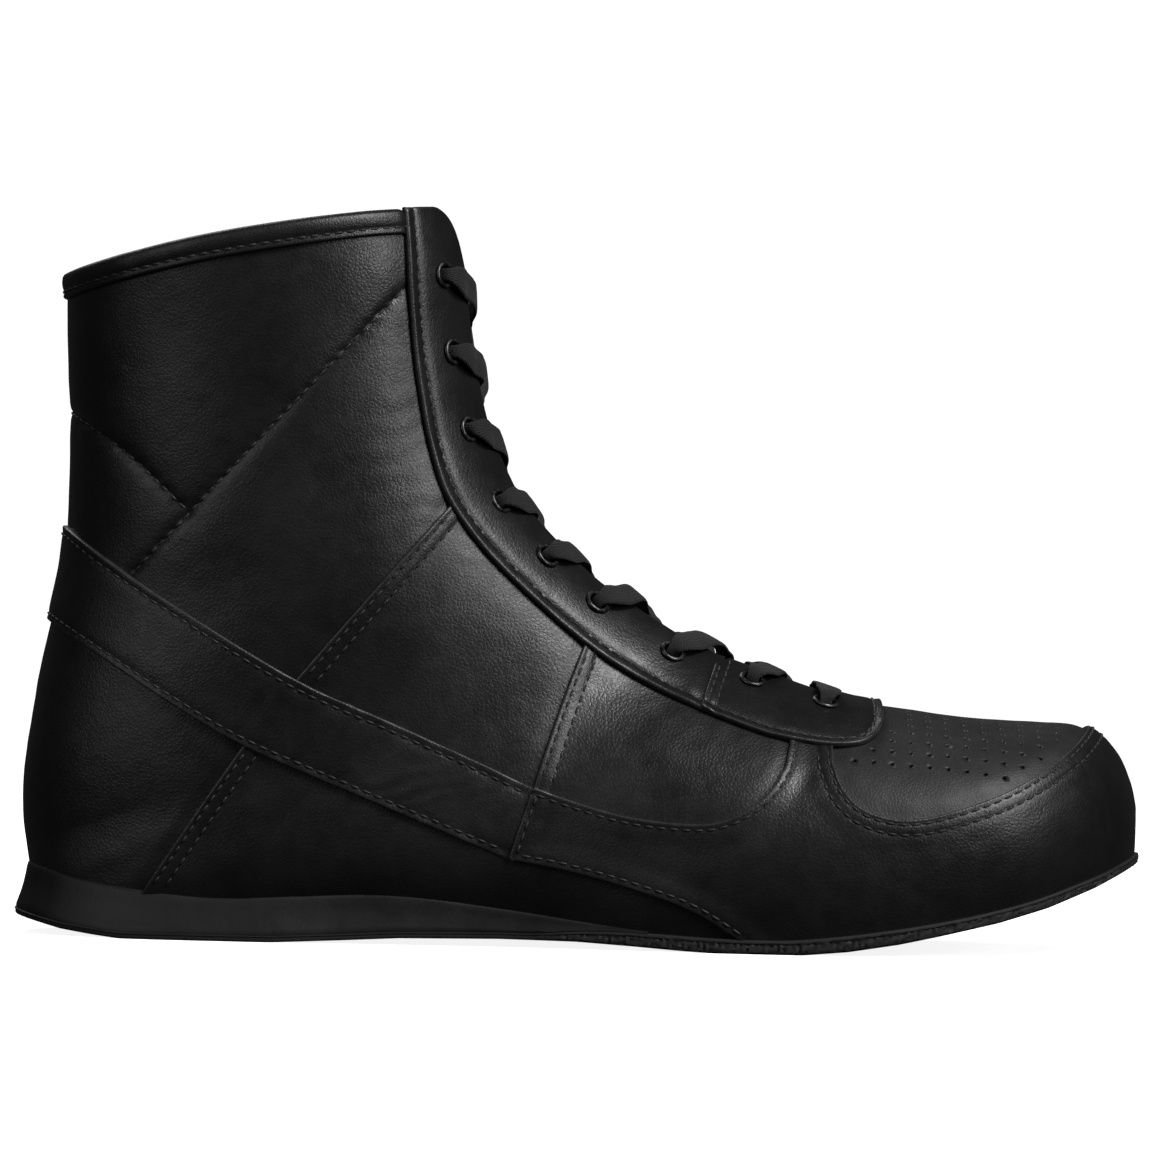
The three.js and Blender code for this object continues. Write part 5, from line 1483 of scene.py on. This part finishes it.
def fibreboard(name, dark, light):
    m, nodes, links, bsdf = shader(name)
    spot = nodes.new("ShaderNodeTexCoord").outputs["Object"]
    fibre = texture(nodes, links, "ShaderNodeTexNoise", 600, spot, Detail=8, Roughness=0.75, Distortion=1.5)
    links.new(blended(nodes, links, remap(nodes, links, fibre.outputs["Fac"], 0.35, 0.65, 0, 1), dark, light),
              bsdf.inputs["Base Color"])
    links.new(remap(nodes, links, fibre.outputs["Fac"], 0.3, 0.7, 0.75, 0.92), bsdf.inputs["Roughness"])
    links.new(bump(nodes, links, fibre.outputs["Fac"], 0.4, 0.0001), bsdf.inputs["Normal"])
    return m


def mark_edge_highlight_and_wear(panel):
    """Marks the vertices near a panel's cut edges, which its material paints lighter: a painted edge
    highlight, together with edge wear.
    """
    mesh = panel.object.data
    count = len(mesh.vertices)
    co = np.empty(count * 3)
    mesh.vertices.foreach_get("co", co)
    co = co.reshape(-1, 3) / MM - SHIFT
    s = panel.spots
    tree = kdtree.KDTree(len(s.p))
    outer = s.p + s.n * panel.top(s)[:, None]
    for i, p in enumerate(outer):
        tree.insert(p, i)
    tree.balance()
    edge = panel.edge(s)
    edge_highlight_and_wear = np.zeros(count)
    for i, p in enumerate(co):
        _, j, d = tree.find(p)
        if d < 0.3:
            edge_highlight_and_wear[i] = math.exp(-((edge[j] / 0.42) ** 2))
    mesh.attributes.new("edge_highlight_and_wear", "FLOAT", "POINT").data.foreach_set("value", edge_highlight_and_wear.astype(np.float32))


for panel in panels.values():
    mark_edge_highlight_and_wear(panel)

smooth = leather("smooth_black_leather", (0.0045, 0.0045, 0.0048), (0.0075, 0.0075, 0.008), 0.38)
matte = leather("matte_black_leather", (0.007, 0.007, 0.0073), (0.011, 0.011, 0.0113), 0.52, grain=1100)
tongue_hide = leather("tongue_leather_black", (0.006, 0.006, 0.006), (0.010, 0.010, 0.010), 0.48, lit_and_worn_edges=False)
binding_hide = leather("binding_leather_black", (0.0045, 0.0045, 0.0048), (0.0075, 0.0075, 0.008), 0.40,
                       grain=1200, lit_and_worn_edges=False)
sole_rubber = rubber("sole_rubber_black", (0.006, 0.006, 0.006), (0.013, 0.0125, 0.012), 0.7)
wedge_rubber = rubber("wedge_rubber_black", (0.004, 0.004, 0.004), (0.008, 0.008, 0.008), 0.5, speck=1100)
lining_knit = textile("lining_knit", (0.010, 0.010, 0.011), (0.032, 0.032, 0.034))
sock_knit = textile("sock_knit", (0.014, 0.014, 0.015), (0.04, 0.04, 0.042), 0.0016)
braid, cotton, enamel = woven_lace(), thread(), metal()
gloss = rubber("lace_tip_plastic", (0.008, 0.008, 0.008), (0.014, 0.014, 0.014), 0.28, speck=400)
stiff = fibreboard("stiffener_board", (0.03, 0.027, 0.022), (0.07, 0.062, 0.052))
board_stock = fibreboard("insole_board_stock", (0.16, 0.11, 0.065), (0.3, 0.22, 0.14))


def dress(obj, material, slot, replaces=(), body="boot"):
    obj.data.materials.clear()
    obj.data.materials.append(material)
    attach(obj, body)
    if replaces:
        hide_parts(*replaces)
    return obj


for name, panel in panels.items():
    panel.object.name = name + "_hide"
    is_vamp = name == "vamp"
    looks = (matte, "perforated_leather") if is_vamp else (smooth, "smooth_leather")
    dress(panel.object, *looks, [name])
lining.object.name = "lining_knitted"
dress(lining.object, lining_knit, "lining_textile", ["lining"])
binding.name = "collar_binding_fold"
dress(binding, binding_hide, "smooth_leather", ["collar_binding"])
for obj in seams.values():
    dress(obj, cotton, "smooth_leather")
for obj, e in zip(eyelet_objects, eyelets):
    dress(obj, enamel, "eyelet_metal", [e["name"]])
dress(lace, braid, "lace_weave", ["lace"])
for obj, node in zip(tips, ("aglet_lateral", "aglet_medial")):
    dress(obj, gloss, "lace_tip", [node])
dress(tongue_pad, tongue_hide, "tongue_leather", ["tongue"], body="tongue")
dress(outsole, sole_rubber, "sole_rubber", ["outsole"])
dress(wedge, wedge_rubber, "wedge_rubber", ["heel_wedge"])
dress(sock_pad, sock_knit, "lining_textile", ["sock_liner"])
for node, material in (("heel_counter", stiff), ("toe_puff", stiff), ("insole_board", board_stock)):
    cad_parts[node].data.materials.clear()
    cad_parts[node].data.materials.append(material)

# ------------------------------------------------------------------ studio
scene = bpy.context.scene
scene.view_settings.view_transform = "Standard"
world = bpy.data.worlds.new("studio")
scene.world = world
world.use_nodes = True
world.node_tree.nodes["Background"].inputs["Color"].default_value = (1, 1, 1, 1)
world.node_tree.nodes["Background"].inputs["Strength"].default_value = 0.03


def round_backdrop(sides=96):
    """Pale round floor that curves up into a wall on all sides. It lights nothing and isn't mirrored."""
    profile = [(0.0, 0.0), (2.0, 0.0)]
    profile += [(2.0 + 1.2 * math.sin(a), 1.2 - 1.2 * math.cos(a))
                for a in np.linspace(0.08, math.pi / 2, 14)]
    profile += [(3.2, 4.0)]
    angles = np.linspace(0, 2 * math.pi, sides, endpoint=False)
    verts = [(0, 0, 0)] + [(r * math.cos(a), r * math.sin(a), z) for r, z in profile[1:] for a in angles]
    faces = [(0, 1 + k, 1 + (k + 1) % sides) for k in range(sides)]
    for i in range(len(profile) - 2):
        low, high = 1 + i * sides, 1 + (i + 1) * sides
        for k in range(sides):
            j = (k + 1) % sides
            faces.append((low + k, high + k, high + j, low + j))
    mesh = bpy.data.meshes.new("floor")
    mesh.from_pydata(verts, [], faces)
    mesh.shade_smooth()
    obj = bpy.data.objects.new("floor", mesh)
    scene.collection.objects.link(obj)
    m, nodes, links, bsdf = shader("pale_floor")
    bsdf.inputs["Base Color"].default_value = (0.9, 0.9, 0.9, 1)
    bsdf.inputs["Roughness"].default_value = 0.95
    bsdf.inputs["Specular IOR Level"].default_value = 0.1
    bsdf.inputs["Emission Color"].default_value = (1, 1, 1, 1)
    bsdf.inputs["Emission Strength"].default_value = 0.88
    mesh.materials.append(m)
    obj.visible_glossy = obj.visible_diffuse = False


round_backdrop()


def softbox(name, place_at, aim, size, watts):
    data = bpy.data.lights.new(name, "AREA")
    data.shape, data.size, data.energy = "SQUARE", size, watts
    obj = bpy.data.objects.new(name, data)
    obj.location = place_at
    obj.rotation_mode = "QUATERNION"
    obj.rotation_quaternion = (Vector(aim) - Vector(place_at)).to_track_quat("-Z", "Y")
    scene.collection.objects.link(obj)


softbox("key", (0.9, -0.95, 1.4), (0.02, 0, 0.08), 0.6, 32)
softbox("front", (1.25, -1.15, 0.6), (0, 0, 0.1), 0.45, 9)
softbox("fill", (-1.2, -1.2, 0.7), (0, 0, 0.1), 1.0, 5)
softbox("rim", (-0.6, 1.0, 1.3), (0, 0, 0.1), 0.9, 8)

camera_data = bpy.data.cameras.new("camera")
camera = bpy.data.objects.new("camera", camera_data)
scene.collection.objects.link(camera)
camera_data.sensor_width, camera_data.lens = 36, 250
camera_data.clip_start, camera_data.clip_end = 0.05, 20
target = Vector((-0.0012, 0.0, 0.0954))
away, rise_angle, roll = 2.125, math.radians(0.3), math.radians(1.15)
camera.location = target + Vector((0, -math.cos(rise_angle), math.sin(rise_angle))) * away
camera.rotation_mode = "QUATERNION"
camera.rotation_quaternion = (target - camera.location).to_track_quat("-Z", "Y") @ \
    Matrix.Rotation(roll, 3, "Z").to_quaternion()
scene.camera = camera
